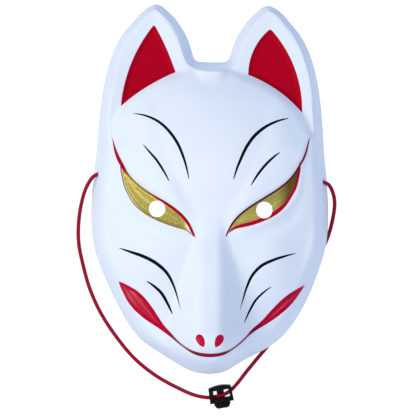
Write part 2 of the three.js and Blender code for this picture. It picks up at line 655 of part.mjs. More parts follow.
function plate(points, zLow, zHigh) {
  const shape = new THREE.Shape(points.map(([x, y]) => new THREE.Vector2(x, y)));
  const geometry = new THREE.ExtrudeGeometry(shape, { depth: zHigh - zLow, bevelEnabled: false });
  geometry.translate(0, 0, zLow);
  return solidFrom(geometry);
}

function block(xLow, xHigh, yLow, yHigh, zLow, zHigh) {
  return plate([[xLow, yLow], [xHigh, yLow], [xHigh, yHigh], [xLow, yHigh]], zLow, zHigh);
}

// Frame of the lock: an arched bar over a window, side walls with cord slots, and a sleeve below
function lockHousing() {
  const { topX, topY, crownY, bottomX, bottomY } = LOCK_CORNER;
  const arch = [];
  for (let i = 0; i <= LOCK_ARCH_STEPS; i += 1) {
    const t = 2 * i / LOCK_ARCH_STEPS - 1;
    arch.push([-t * topX, crownY - (crownY - topY) * t * t]);
  }
  const outline = [[-bottomX, bottomY], [bottomX, bottomY], ...arch];
  const sleeveLow = LOCK_SLOT.z - LOCK_SLEEVE.thickness / 2;
  const sleeveHigh = LOCK_SLOT.z + LOCK_SLEEVE.thickness / 2;
  const slotLow = LOCK_SLOT.z - LOCK_SLOT.width / 2;
  const slotHigh = LOCK_SLOT.z + LOCK_SLOT.width / 2;
  const { left, right, bottom, top } = LOCK_WINDOW;
  const window = block(left, right, bottom, top, -CUT_OVERRUN, LOCK.thickness + CUT_OVERRUN);
  const slots = block(-PAST_LOCK, PAST_LOCK, LOCK_SLOT.bottom, LOCK_SLOT.leftTop, slotLow, slotHigh);
  const rightSlot = block(
    right - CUT_OVERRUN, PAST_LOCK, LOCK_SLOT.bottom, LOCK_SLOT.rightTop, slotLow, slotHigh,
  );
  const sleeve = block(
    -LOCK_SLEEVE.halfWidth, LOCK_SLEEVE.halfWidth, bottomY - CUT_OVERRUN, bottom + CUT_OVERRUN,
    sleeveLow, sleeveHigh,
  );
  const pocket = block(
    -LOCK_POCKET.halfWidth, LOCK_POCKET.halfWidth, top - CUT_OVERRUN, LOCK_POCKET.top,
    sleeveLow, sleeveHigh,
  );
  return plate(outline, 0, LOCK.thickness)
    .subtract(window)
    .subtract(slots)
    .subtract(rightSlot)
    .subtract(sleeve)
    .subtract(pocket);
}

// Button with its stepped end, and the hook that holds the cord down
function lockPlunger() {
  const low = LOCK_SLOT.z - LOCK_SLEEVE.thickness / 2 + BUTTON_GAP;
  const high = LOCK_SLOT.z + LOCK_SLEEVE.thickness / 2 - BUTTON_GAP;
  const half = [
    [BUTTON.endX, BUTTON.endY],
    [BUTTON.stepX - BUTTON_STEP.inFromStep, BUTTON.endY + BUTTON_STEP.riseFromEnd],
    [BUTTON.stepX, BUTTON.shoulderY - BUTTON_STEP.belowShoulder],
    [BUTTON.shoulderX, BUTTON.shoulderY],
    [BUTTON.shoulderX, BUTTON.top],
  ];
  const outline = [...half, ...half.map(([x, y]) => [-x, y]).reverse()];
  const root = BUTTON.top - HOOK.rootDepth;
  const hookBack = block(-HOOK.halfWidth, HOOK.halfWidth, root, HOOK.barTop, low, HOOK.backTop);
  const hookBar = block(-HOOK.halfWidth, HOOK.halfWidth, HOOK.barBottom, HOOK.barTop, low, high);
  return plate(outline, low, high).add(hookBack).add(hookBar);
}

function inLockPlace(solid) {
  const geometry = geometryFrom(solid);
  geometry.rotateZ(THREE.MathUtils.degToRad(LOCK.turn));
  geometry.translate(LOCK.x, LOCK.y, 0);
  return geometry;
}

function named(name, geometry, color, roughness) {
  const material = new THREE.MeshStandardMaterial({ color, roughness, metalness: 0 });
  const mesh = new THREE.Mesh(geometry, material);
  mesh.name = name;
  return mesh;
}

const mask = new THREE.Group();
mask.add(named('mask_shell', maskShell(), PAINT.white, ROUGHNESS.paint));
mask.add(named('elastic_cord', elasticCord(), PAINT.red, ROUGHNESS.elastic));
mask.add(named('cord_lock_housing', inLockPlace(lockHousing()), PAINT.black, ROUGHNESS.lock));
mask.add(named('cord_lock_plunger', inLockPlace(lockPlunger()), PAINT.black, ROUGHNESS.lock));

export default mask;
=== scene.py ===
"""Fox mask: the painted shell, its head cord with two knots, and the spring cord lock."""

import math

import bpy
import numpy as np
from bpy.props import FloatProperty, FloatVectorProperty, PointerProperty
from mathutils import Matrix, Vector


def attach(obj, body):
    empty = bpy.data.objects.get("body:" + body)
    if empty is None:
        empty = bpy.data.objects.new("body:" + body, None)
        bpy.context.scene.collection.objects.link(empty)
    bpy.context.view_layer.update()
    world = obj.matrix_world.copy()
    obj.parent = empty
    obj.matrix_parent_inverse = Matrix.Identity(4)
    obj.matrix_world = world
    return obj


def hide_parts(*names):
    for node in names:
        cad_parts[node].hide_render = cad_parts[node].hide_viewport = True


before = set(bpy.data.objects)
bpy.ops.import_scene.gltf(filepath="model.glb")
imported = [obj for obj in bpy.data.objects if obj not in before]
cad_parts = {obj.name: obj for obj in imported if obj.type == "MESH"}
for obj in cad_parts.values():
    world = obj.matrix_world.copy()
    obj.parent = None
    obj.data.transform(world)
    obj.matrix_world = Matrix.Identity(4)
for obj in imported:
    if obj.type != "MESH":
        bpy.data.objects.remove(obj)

bl_info = {
    "name": "Fox Mask",
    "version": (1, 0, 0),
    "blender": (4, 5, 0),
    "location": "View3D > Sidebar > Fox Mask",
    "description": "Models a moulded and painted fox mask with its elastic head cord and cord lock",
    "category": "Object",
}

MM = 0.001

# Bodies of the frame that the pieces ride on
MASK_BODY = "mask"
BUTTON_BODY = "lock_button"

# Grid that the face is laid on, in millimetres: the insets of its edge rings, how far along the outline
# its lower corners lie from the chin, and over what length the outline's directions are evened out
COLUMNS = 152
ROWS = 264
EDGE_RINGS = [0, 0.7, 1.4, 2.2, 3, 3.9, 4.9, 6, 7.2]
CHIN_SPAN = 58
DIRECTION_SPAN = 7
GRID_HALVINGS = 3
SETTLING_ROUNDS = 160
SETTLING_SHARE = 0.8
OUTLINE_POINTS = 1600
OUTLINE_SKIP = 4
SAME_DISTANCE = 1e-9

# Steps along x of the carved lines, and the least that the back skin is taken to face up
LID_STEP = 1
MOUTH_STEP = 1.5
LEAST_FACING = 0.1

# Sizes of the face, in millimetres, the same as the frame's
FACE_LENGTH = 250
RIM_ARCH = {"height": 7, "cheek": (14, 45), "chin": (98, 116)}
EAR_PLATE = {"low": (60, 34), "tip": (124, 26)}
EAR_TIP = (38.7, 108.2)
EAR_TIP_ROUNDING = 1.6
EAR_INNER = (24.1, 76.7)
EAR_OUTER = (60.1, 52.6)
EAR_BOWS = {
    "left": {"outer": 4.4, "inner": 0.9, "foot": 1.7},
    "right": {"outer": 5.9, "inner": 3.9, "foot": 2.8},
}
EAR_LEAN = 0.025
EAR_RECESS = {"depth": 2, "edge": (-0.4, 2.6)}
EAR_BORDER = {"drop": 1.2, "width": 9}
EAR_BLEND = 2.5
DOME = {"centre": (8.6, 13.4), "radius": 65.5, "side": 67.5, "rise": 2.4, "foot_drop": 2.2, "blend": 9}
DOME_TOP = {"narrowing": 0.89, "full_x": 24}
DOME_END = {"start": 44, "length": 34, "lift": 30, "corner_blend": 4}
FOREHEAD_RADIUS = 112
CHEEK = {"x": (42, 17), "y": (-52, 24), "height": 3.5}
SNOUT_BLEND = 5
BROW = {"height": 3.2, "foot": (-1.2, 2.6), "top": 3, "reach": 12, "outer_reach": 34}
BROW_WIDENING = (12, 48)
BROW_START = (8, 26)
BROW_END = {"x": (40, 60), "y": (22, 40)}
EYE_GROOVE = {"depth": 1.7, "edge": (-0.5, 1.3), "corner": (10, 18)}
EYE_BULGE = {"height": 2, "edge": (0.6, 6.2)}
LID_ROLL = {"height": 1.3, "offset": -2.2, "width": 2.2, "start": (14, 24), "end": (57, 62)}
EYE_FOLD = {"depth": 1.1, "offset": -9, "width": 4, "start": (16, 34), "end": (52, 64)}
EYE_HOLE = (35.1, -13.5)
MOUTH_GROOVE = {"depth": 1.3, "width": 1.1, "end": (59, 61)}
MOUTH_CORNER = {"start": (24, 36), "end": (58, 62), "full": 4, "least": 0.3}
MOUTH_HOLLOW = {"depth": 2, "flat": 0.25}
MOUTH_SPINDLE = {"height": 1.6, "width": 0.55}
MOUTH_SHIFT = 1.1
MOUTH_LEAN = {"share": 0.21, "span": (10, 22)}
MOUTH_TURN = {"slope": 0.041, "about": 44, "span": (24, 32)}
NOSTRIL = {"centre": (5.8, -97.7), "half": (2.5, 4.3), "lean": 26, "depth": 1.4, "flare": 0.16}
NOSTRIL_EDGE = (0.55, 1.1)

# Outline of the rim from the dip between the ears round to the chin, right half
HALF_OUTLINE = [
    (0, 86.2), (6, 86.3), (9.6, 86.8), (11.6, 88.4), (13, 92), (14.9, 98.2), (17.1, 103.7), (20.3, 109.1),
    (24.9, 115.6), (29.4, 120), (33.8, 123.6), (38, 125), (42.2, 123.6), (47.9, 119.4), (54, 112.4),
    (59.6, 105.8), (64.2, 98), (68.2, 88), (71.5, 76), (74.2, 60), (76.1, 41), (77.3, 24), (78.9, 9.5),
    (80, -6), (80.3, -16), (79.7, -29), (77.7, -41.3), (73, -56.5), (67.6, -70.5), (61.7, -82.2),
    (55.3, -92.2), (46, -102.3), (30.8, -112.6), (20.8, -118.6), (11, -123.3), (0, -125),
]

# How far the left and the right side of the outline are drawn in below the cheek, and where most
DRAWN_IN = {"left": {"by": 2.3, "y": (-79, 27)}, "right": {"by": 2, "y": (-116, 6)}}
DRAWN_IN_START = (0, 20)

# Profiles along the length, as (y, value)
CROWN = [
    (-130, 30), (-118, 38), (-104, 43), (-85, 46.5), (-60, 49.5), (-30, 54), (-10, 57.5), (10, 60),
    (28, 59.5), (45, 55.5), (60, 48.5), (72, 40), (80, 32), (88, 20),
]
SNOUT = [
    (-135, 20), (-125, 47), (-120, 60), (-115, 67.5), (-110, 72.5), (-105, 79), (-100, 83), (-95, 83.5),
    (-88, 80), (-75, 73.8), (-60, 67.5), (-42, 61.5), (-28, 57.2), (-14, 53), (0, 48), (20, 40),
]
SNOUT_HALF_WIDTH = [(-130, 17), (-112, 15), (-96, 13), (-80, 12.5), (-50, 12), (-20, 10), (20, 10)]
SNOUT_STEEPNESS = [(-130, 1.5), (-112, 1.6), (-96, 1.6), (-60, 1.4), (-20, 1.2), (20, 1.1)]
SIDE_SLOPE = [(-130, 6.5), (-112, 6), (-90, 4.2), (-60, 3.6), (-20, 4), (20, 4.4), (60, 4.8), (130, 4.8)]
SIDE_ROUNDING = [(-130, 12), (-100, 16), (-60, 18), (-20, 15), (20, 10), (50, 5), (130, 4)]

# Carved lines of the right half
UPPER_LID = [
    (10.4, -30.3), (13.8, -23.4), (18.6, -17.4), (25.6, -11.8), (36.8, -4.6), (45, 0.8), (52.3, 7.3),
    (58.1, 15.7), (62.5, 24.3), (65, 34.3),
]
LOWER_LID = [
    (10.4, -30.3), (15.5, -26.4), (21.8, -24.6), (29.1, -22.3), (37.7, -18.6), (45, -13.9),
    (50.5, -8.7), (55.9, 0), (57.4, 4.8), (59.2, 14.3), (59.6, 19),
]
MOUTH_LINE = [
    (-10.1, -105.8), (0, -107.4), (10.1, -105.8), (19.2, -101), (26.8, -94.8), (36.8, -86.5),
    (46.6, -77.2), (54.8, -69.1), (61.7, -62.6),
]
MOUTH_HALF_WIDTH = [
    (0, 1.3), (6, 1.22), (10, 1.08), (14, 0.78), (17, 0.62), (20, 0.63), (23, 0.75), (26, 1.05), (29, 1.4),
    (32, 1.75), (35, 2.35), (38, 3), (41, 3.7), (44, 4.15), (47, 4.45), (50, 4.4), (53, 3.9), (56, 2.85),
    (59, 1.7), (61.5, 0.4),
]

# Painted lines of the lids: how far each one's middle lies above the lid, and half its width, along x
UPPER_LINE = {
    "left": {
        "middle": [(10, -0.4), (30, -0.45), (38, -0.7), (44, -1), (50, -0.8), (54, -0.7), (65, -0.7)],
        "half": [
            (10, 0.7), (14, 1), (25, 1), (33, 0.8), (42, 0.45), (54, 0.4), (57, 1.15), (61, 1.3),
            (63.5, 0.8), (65.3, 0.1),
        ],
    },
    "right": {
        "middle": [(10, 0.1), (65, 0.2)],
        "half": [(10, 0.5), (14, 0.65), (48, 0.65), (57, 0.55), (60, 0.8), (63, 0.7), (65.3, 0.15)],
    },
}
LOWER_LINE = {
    "left": {
        "middle": [
            (10, -0.9), (31, -0.8), (42, -1), (48.5, -1), (52.5, -0.9), (55, -0.5), (57, -0.4), (60, -0.6),
        ],
        "half": [(10, 0.3), (60, 0.3)],
    },
    "right": {
        "middle": [
            (12, 0.55), (20, 1), (27, 0.75), (35, 0.65), (42, 0.45), (46, 0.45), (50, 0.65), (53, 0.9),
        ],
        "half": [
            (12, 0.5), (18, 1), (27, 1.25), (35, 1.3), (42, 1.4), (46, 1.3), (50, 1.05), (53, 0.9),
            (58, 0.85), (59.6, 0.65),
        ],
    },
}

# Where the gold and the lower line fade out, across towards the nose and up towards the ear
GOLD_ENDS = {"left": ((13.5, 15), (13.2, 14.6)), "right": ((12, 13.5), (15.8, 17.2))}
LOWER_LINE_ENDS = {"left": ((11, 13), (13.5, 15.5)), "right": ((11, 13), (16, 19.5))}

# Black brush strokes: half width at the widest place, where that is from 0 to 1 along the line, how
# fast the ends taper, and the line that the brush follows
STROKES = [
    (1, 0.5, 0.55, [
        (-51.8, 49.2), (-43.5, 47.6), (-34.8, 43.6), (-27.7, 37.2), (-22.2, 29.4), (-18.4, 20.8),
        (-16.2, 13.8), (-14.3, 5.5),
    ]),
    (1.1, 0.5, 0.55, [
        (51.3, 47.3), (43.5, 45.1), (35.4, 41.1), (28.4, 35.3), (23.1, 28.1), (19.2, 19.8), (16.6, 13.2),
        (14.3, 5.3),
    ]),
    (0.8, 0.5, 0.55, [(-45, 28.8), (-39.1, 22.2), (-36, 18.7), (-30.8, 10.9), (-27, 4)]),
    (0.9, 0.5, 0.55, [(45.6, 24.8), (42.2, 22.5), (35.4, 16.1), (29.7, 8.7), (25.7, 2)]),
    (1.2, 0.38, 1, [
        (-60.6, -39.5), (-52.5, -42), (-43.6, -44.9), (-35.4, -49.1), (-28.3, -55.4), (-23.7, -63.7),
        (-21.3, -70.8), (-18.6, -80.3),
    ]),
    (1.05, 0.42, 0.9, [
        (57.5, -41.6), (49.9, -43.5), (41.5, -46.2), (33.8, -50), (27.8, -56.4), (24.2, -64.5),
        (22.2, -71.2), (19.6, -80.5),
    ]),
    (1.05, 0.5, 0.55, [(-41.9, -60.9), (-38.6, -62.8), (-32.1, -68.3), (-27.6, -75.6), (-24.1, -82.9)]),
    (0.8, 0.5, 0.55, [(41, -63.7), (36.9, -66.4), (30.6, -72.5), (26.3, -80.1), (22.7, -88)]),
]

# Points along a stroke, how far from its line and how near its ends it reaches, and what stands where
# there is none
STROKE_POINTS = 60
STROKE_REACH = 3
STROKE_ENDS = 0.002
NO_STROKE = {"offset": 50.0, "half_width": -5.0}

# Head cord's route, from the knot inside the left hole through the lock to the right one
CORD_ROUTE = [
    (-69.7, 9.3, 13.9), (-74.9, 9.3, 14), (-78.5, 7.7, 13.4), (-81.6, 3.7, 11), (-84.4, -2, 7),
    (-86.5, -9, 3.3), (-88, -17, 1.6), (-88.8, -28, 1.4), (-88.2, -39, 1.4), (-85.8, -50.1, 1.4),
    (-81.2, -66.3, 1.4), (-74, -82.5, 1.4), (-63.6, -98.6, 1.4), (-49.9, -114.8, 1.4),
    (-35.5, -126.2, 1.4), (-20.5, -134.4, 1.6), (-8.4, -139.3, 3), (0.9, -140.6, 4.3), (5, -140, 4.3),
    (8.9, -139.1, 4.3), (12.9, -137.4, 4.3), (16.6, -134.5, 4.3), (21.1, -129.4, 3.2),
    (26, -123.1, 1.6), (33.5, -113.8, 1.4), (40.6, -105.1, 1.4), (49.1, -91.9, 1.4),
    (58.4, -74.8, 1.4), (68.2, -56.2, 1.4), (75.5, -41.6, 1.4), (80.4, -30.6, 1.4), (83.4, -18.5, 2),
    (84.3, -9.5, 4.6), (83, -2, 8.6), (79.4, 4.1, 12.8), (74.7, 5.8, 14), (69.5, 5.8, 13.9),
]
CORD_HOLES = [(-74.7, 9.3, 14), (74.6, 5.8, 14)]

# The cord's sides and steps, its braid, its knots, and the distance at which the points of a seam merge
CORD_SIDES = 24
CORD_STEP = 0.5
BRAID = {"strands": 6, "pitch": 9, "relief": 0.05}
KNOT = {"scale": 0.88, "depth": 1.3, "squeeze": 0.85, "inward": 0.6, "tail": 6, "sides": 16, "steps": 120}
SEAM_DISTANCE = 0.01

# Drills for the holes: their length, the height of their middle, their turn in degrees and their sides
EYE_DRILL = {"length": 100, "height": 50, "turn": 0, "sides": 72}
CORD_DRILL = {"length": 14, "turn": 90, "sides": 36}

# Cord lock in its own frame: x along the cord, y away from the button, z up
LOCK = {"centre": (9, -139.4), "turn": 10.7, "thickness": 8}
LOCK_CORNER = {"top": (7.7, 6.2), "crown": 7.5, "bottom": (8.15, -4.1)}
LOCK_COLUMNS = 16
LOCK_WINDOW = {"x": (-5.6, 6), "y": (-1.3, 4.1)}
LOCK_SLOT = {"width": 3.4, "bottom": -1.6, "left_top": 3.7, "right_top": 5.3, "z": 4.3}
LOCK_SLEEVE = {"half_width": 6, "thickness": 5.4}
LOCK_POCKET = {"half_width": 2.9, "top": 6.2}
LOCK_FACE = {"border": 0.75, "drop": 0.35}
LOCK_ROUNDING = {"window": 0.7, "left_slot": 0.6, "right_slot": 0.6, "sleeve": 0.5, "edges": 0.22}
CUT_PAST = {"face": 2, "side": 4, "window": 1}
BUTTON_GAP = 0.35
BUTTON = {"top": -3.4, "shoulder": (5.6, -5.9), "step": (4.9, -5.9), "neck": (4.9, -8.2), "end": (3.4, -8.2)}
BUTTON_ROUNDING = 0.2
HOOK = {"half_width": 2.5, "back_top": 2.6, "bar": (2.6, 3.7), "overlap": 0.5}

# The button's rings towards its end: how far each lies past its part's own y, and how much narrower and
# thinner it is
BUTTON_RINGS = {
    "shoulder": [(1.5, 0, 0), (1.25, 0.25, 0.3), (0.95, 0.25, 0.3), (0.7, 0, 0), (0, 0, 0)],
    "step": [(-0.3, 0, 0.35), (-0.6, 0, 0.35), (-0.85, 0, 0.1)],
    "neck": [(0.8, 0.3, 0.1)],
    "end": [(0, 0, 0.7)],
}

# The faces of the shell's inside point up by less than the first, and a face that is square to a
# direction points along it by more than the second
INSIDE_FACING = 0.05
SQUARE_FACING = 0.9

# Angles in degrees: above which an edge stays sharp, and above which it is rounded
SHARP_ANGLE = {"shell": 40, "lock": 35, "cord": 60}
ROUND_ANGLE = {"lock": 40, "button": 30, "cutter": 30}

# Paint of the face. Grains are sizes in millimetres. An edge goes from bare to painted over its span,
# which is measured inwards, and wanders by as much as it says
PAINT_GRAIN = {"wander": 4, "mottle": 30, "speckle": 0.8, "dry": 0.9, "grain": 1.1}
PAINT_EDGE = {
    "ear": {"span": (-0.12, 0.12), "wander": 0.16},
    "gold": {"span": (-0.1, 0.15), "wander": 0.16},
    "line": {"span": (-0.1, 0.12), "wander": 0.096},
    "ink": {"span": (-0.08, 0.14), "wander": 0.08},
}

# Rounding of the ears' painted tips, and the faint mottle of the white
EAR_TIP_PAINT = 2.4
WHITE_MOTTLE = {"span": (0.3, 0.75), "tone": 0.97}

# Where the eyes' paint changes, outwards from the middle of the face, with the painted highlight at the left
# eye's inner end and along the outer part of its lower lip, measured up from the lower line, the painted
# shade that darkens the gold towards the right eye's outer corner, the gold's speckle and how much of it is
# metal
GOLD_CHANGE = {"highlit_end": (15, 18), "shaded_olive": (42, 52), "highlit_lip": (44, 51), "dark_red": (56.6, 58)}
LIP_HIGHLIGHT_SPAN = (0.8, 1.7)
GOLD_SPECKLE = (0.3, 0.7)
GOLD_METAL = 0.45
LINE_CHANGE = {"start": (9.4, 10.6), "brown_middle": (32, 41), "red_again": (54, 58), "tail": (56, 60)}

# The mouth's paint: where its outer part begins, where its line ends, which half widths are thin and how
# much wider and softer the line is drawn there, which are broad, and how deep inside it the paint changes
MOUTH_OUTER = (40, 50)
MOUTH_END = (-0.3, 0.3)
MOUTH_THIN = {"least": 0.7, "span": (0.7, 1.2), "wider": 0.4, "softer": 0.9}
MOUTH_BROAD = (1.1, 1.8)
MOUTH_DEPTH = {"red": (0.2, 1.2), "coat": (1.6, 3.4)}
NOSTRIL_PAINT = {"edge": (0.98, 1.06), "end": (12, 14)}

# Where the brush was dry: the share of its grain, how near the stroke's rim, and how bare it left it
DRY_BRUSH = {"share": (0.62, 0.75), "rim": (0.5, 0.2), "bare": 0.3}

# Gloss and relief of the paint
PAINT_ROUGHNESS = {"base": 0.46, "grain": 0.06, "mouth": 0.2, "nostril": 0.15}
PAINT_COAT = {"mouth": 0.6, "nostril": 0.12}
PAINT_RELIEF = {"grain": 0.35, "paint": 0.6, "speckle": 0.5, "height": 0.04}

# The other finishes, with their grains and heights in millimetres
BARE_COLOURS = ((0.78, 0.78, 0.76), (0.72, 0.73, 0.72))
BARE_PLASTIC = {"mottle": 18, "grain": 0.7, "span": (0.3, 0.7), "relief": 3, "height": 0.05}
CORD_YARN = {"per_strand": 4, "cover": (0.3, 0.7), "share": 0.8, "span": (0.2, 0.95), "height": 0.07}
CORD_FUZZ = {"grain": 0.5, "share": 0.4, "relief": 0.3}
LOCK_PLASTIC = {"grain": 0.4, "rubbed": 3, "span": (0.45, 0.8), "tone": 2.2, "height": 0.02}
LOCK_ROUGHNESS = {"frame": 0.28, "button": 0.36}

# Camera: above the face and a little to its left, in millimetres, with its turn in degrees. Only the
# distances between which it sees are in metres
CAMERA_HEIGHT = 1500
CAMERA_ROLL = 0.66
CAMERA_ASIDE = 17
FRAME_WIDTH = 281.84
FRAME_CENTRE = (-1.21, -12.55)
SENSOR = 36
CLIP = (0.05, 20)

# Floor, sky and lights, in metres and watts. Only the floor's grain is in millimetres
FLOOR = {"height": -0.0002, "size": 8, "grain": 500, "colours": ((0.28, 0.28, 0.28), (0.3, 0.3, 0.3))}
WORLD = {"colour": (0.58, 0.7, 1), "strength": 0.76}
LIGHT_AIM = (0, 0, 0.03)
LIGHTS = {
    "key_light": {"at": (-1.08, 0.1, 1.33), "size": 1.5, "power": 11.8, "colour": (1, 0.9, 0.48)},
    "spark_light": {"at": (-1.08, 0.1, 1.33), "size": 0.45, "power": 6, "colour": (1, 0.97, 0.9)},
    "fill_light": {"at": (1.2, -1, 0.9), "size": 0.9, "power": 5.6, "colour": (1, 0.97, 0.7)},
}


def ease(t):
    u = np.clip(t, 0, 1)
    return u * u * (3 - 2 * u)


def between(value, span):
    return ease((value - span[0]) / (span[1] - span[0]))


def bump(value, centre, width):
    return np.exp(-(((value - centre) / width) ** 2))


def smooth_max(a, b, blend):
    share = np.clip(0.5 + 0.5 * (a - b) / blend, 0, 1)
    return b + (a - b) * share + blend * share * (1 - share)


def smooth_min(a, b, blend):
    return -smooth_max(-a, -b, blend)


def through(stations, position):
    """A smooth curve through (position, value) stations."""
    places, values = np.array(stations, float).T
    tangents = station_tangents(places, values)
    at = np.clip(position, places[0], places[-1])
    i = np.clip(np.searchsorted(places, at, side="right") - 1, 0, len(places) - 2)
    span = places[i + 1] - places[i]
    t = (at - places[i]) / span
    return (
        (2 * t**3 - 3 * t**2 + 1) * values[i]
        + (t**3 - 2 * t**2 + t) * span * tangents[i]
        + (3 * t**2 - 2 * t**3) * values[i + 1]
        + (t**3 - t**2) * span * tangents[i + 1]
    )


def station_tangents(places, values):
    last = len(places) - 1
    before = np.maximum(np.arange(last + 1) - 1, 0)
    after = np.minimum(np.arange(last + 1) + 1, last)
    return (values[after] - values[before]) / (places[after] - places[before])


def sampled_line(stations, step):
    """An open line of the face, sampled every step along x."""
    start, end = stations[0][0], stations[-1][0]
    x = np.linspace(start, end, math.ceil((end - start) / step) + 1)
    return np.stack([x, through(stations, x)], 1)


def smooth_curve(points, closed=False, samples=24):
    """A dense centripetal curve through the points."""
    points = np.array(points, float)
    count = len(points)
    if closed:
        corners = [points[np.arange(i - 1, i + 3) % count] for i in range(count)]
    else:
        ends = [2 * points[0] - points[1], *points, 2 * points[-1] - points[-2]]
        corners = [np.array(ends[i : i + 4]) for i in range(count - 1)]
    curve = [span_points(four, samples) for four in corners]
    if not closed:
        curve.append(points[-1:])
    return np.concatenate(curve)


def span_points(four, samples):
    knots = np.concatenate([[0], np.cumsum(np.sqrt(np.linalg.norm(np.diff(four, axis=0), axis=1)))])
    t = np.linspace(knots[1], knots[2], samples, endpoint=False)[:, None]

    def blend(a, b, low, high):
        return ((knots[high] - t) * a + (t - knots[low]) * b) / (knots[high] - knots[low])

    first, second, third = (blend(four[i], four[i + 1], i, i + 1) for i in range(3))
    return blend(blend(first, second, 0, 2), blend(second, third, 1, 3), 1, 2)


def evenly_spaced(curve, count, closed=False):
    """count points at equal steps along a dense curve."""
    path = np.vstack([curve, curve[:1]]) if closed else curve
    run = np.concatenate([[0], np.cumsum(np.linalg.norm(np.diff(path, axis=0), axis=1))])
    at = np.linspace(0, run[-1], count, endpoint=not closed)
    return np.stack([np.interp(at, run, path[:, k]) for k in range(path.shape[1])], 1)


def nearest_on(line, x, y, closed=False):
    """Distance to a line, positive on its left as it runs, and how far along it that is, from 0 to 1."""
    ends = np.roll(line, -1, 0) if closed else line[1:]
    starts = line if closed else line[:-1]
    best = np.full(x.shape, np.inf)
    side = np.ones(x.shape)
    along = np.zeros(x.shape)
    for i, (start, end) in enumerate(zip(starts, ends)):
        run = end - start
        dx, dy = x - start[0], y - start[1]
        t = np.clip((dx * run[0] + dy * run[1]) / (run @ run), 0, 1)
        distance = np.hypot(dx - t * run[0], dy - t * run[1])
        near = distance < best - SAME_DISTANCE
        best = np.where(near, distance, best)
        side = np.where(near, np.where(run[0] * dy - run[1] * dx >= 0, 1, -1), side)
        along = np.where(near, (i + t) / len(starts), along)
    return best * side, along


def side_of(line, x, y, closed=False):
    return nearest_on(line, x, y, closed)[0]


def arc_through(p, q, bow):
    """The circle through p and q whose arc stands off their chord by bow, on the left of p to q."""
    p, q = np.array(p, float), np.array(q, float)
    chord = np.linalg.norm(q - p)
    radius = (chord * chord / 4 + bow * bow) / (2 * bow)
    normal = np.array([-(q - p)[1], (q - p)[0]]) / chord
    return (p + q) / 2 + normal * (bow - radius), radius


EAR_ARCS = {
    side: {
        "outer": arc_through(EAR_TIP, EAR_OUTER, bow["outer"]),
        "inner": arc_through(EAR_INNER, EAR_TIP, bow["inner"]),
        "foot": arc_through(EAR_INNER, EAR_OUTER, bow["foot"]),
    }
    for side, bow in EAR_BOWS.items()
}
UPPER_LID_LINE = sampled_line(UPPER_LID, LID_STEP)
LOWER_LID_LINE = sampled_line(LOWER_LID, LID_STEP)
MOUTH_PATH = sampled_line(MOUTH_LINE, MOUTH_STEP)


def by_side(signed_x, left, right):
    """Values of the left half where the point lies left, and of the right half elsewhere."""
    return np.where(signed_x < 0, left, right)


def inside_arc(name, signed_x, y):
    """How far a point lies inside one of the arcs round the ear's painted panel."""
    insets = []
    for side in ("left", "right"):
        centre, radius = EAR_ARCS[side][name]
        insets.append(radius - np.hypot(np.abs(signed_x) - centre[0], y - centre[1]))
    return by_side(signed_x, *insets)


def ear_insets(signed_x, y):
    """How far a point lies inside each of the three sides of the ear's painted panel."""
    return {
        "outer": inside_arc("outer", signed_x, y),
        "inner": inside_arc("inner", signed_x, y),
        "foot": -inside_arc("foot", signed_x, y),
    }


def length_of(line, x):
    return between(x, line["start"]) * (1 - between(x, line["end"]))


def brow_relief(x, y, above):
    reach = BROW["reach"] + BROW["outer_reach"] * between(x, BROW_WIDENING)
    top = ease((above - BROW["top"]) / (reach - BROW["top"]))
    end = between(y, BROW_END["y"]) * between(x, BROW_END["x"])
    return BROW["height"] * between(above, BROW["foot"]) * (1 - top) * between(x, BROW_START) * (1 - end)


def eye_relief(x, above, above_lower):
    inside = np.minimum(-above, above_lower)
    groove = EYE_GROOVE["depth"] * between(inside, EYE_GROOVE["edge"])
    bulge = EYE_BULGE["height"] * between(inside, EYE_BULGE["edge"])
    roll, fold = (
        line[size] * bump(above_lower, line["offset"], line["width"]) * length_of(line, x)
        for line, size in ((LID_ROLL, "height"), (EYE_FOLD, "depth"))
    )
    return roll - fold + (bulge - groove) * between(x, EYE_GROOVE["corner"])


def face_surface(x, y):
    """Forehead, cheeks, snout, brows and eyes, before the ears and the side wall."""
    cheek = CHEEK["height"] * bump(x, *CHEEK["x"]) * bump(y, *CHEEK["y"])
    head = through(CROWN, y) - x * x / (2 * FOREHEAD_RADIUS) + cheek
    fall = x**4 / (x**3 + through(SNOUT_HALF_WIDTH, y) ** 3)
    snout = through(SNOUT, y) - through(SNOUT_STEEPNESS, y) * fall
    above = side_of(UPPER_LID_LINE, x, y)
    above_lower = side_of(LOWER_LID_LINE, x, y)
    return (
        smooth_max(head, snout, SNOUT_BLEND)
        + brow_relief(x, y, above)
        + eye_relief(x, above, above_lower)
    )


def ear_surface(signed_x, y):
    """The ear's plate, and the same with its sunken panel."""
    (low_y, low_z), (tip_y, tip_z) = EAR_PLATE["low"], EAR_PLATE["tip"]
    plate = low_z + (tip_z - low_z) / (tip_y - low_y) * np.maximum(y - low_y, 0)
    insets = ear_insets(signed_x, y)
    inset = np.minimum(smooth_min(insets["outer"], insets["inner"], EAR_TIP_ROUNDING), insets["foot"])
    border = EAR_BORDER["drop"] * between(inset, (-EAR_BORDER["width"], 0))
    return plate, plate - border - EAR_RECESS["depth"] * between(inset, EAR_RECESS["edge"])


def dome_inset(x, y):
    """How far a point lies inside the head dome's round edge, which fades out below the ears."""
    narrow = DOME_TOP["narrowing"]
    upward = np.maximum(y - DOME["centre"][1], 0) * (narrow + (1 - narrow) * ease(x / DOME_TOP["full_x"]))
    round_edge = DOME["radius"] - np.hypot(np.maximum(x - DOME["centre"][0], 0), upward)
    fade = DOME_END["lift"] * ease((DOME_END["start"] - y) / DOME_END["length"])
    return smooth_min(round_edge, DOME["side"] - x, DOME_END["corner_blend"]) + fade


def from_mouth(signed_x):
    """How far a point lies from the middle of the mouth, whose corners lie a little to the right."""
    return np.abs(signed_x - MOUTH_SHIFT * between(np.abs(signed_x), MOUTH_CORNER["start"]))


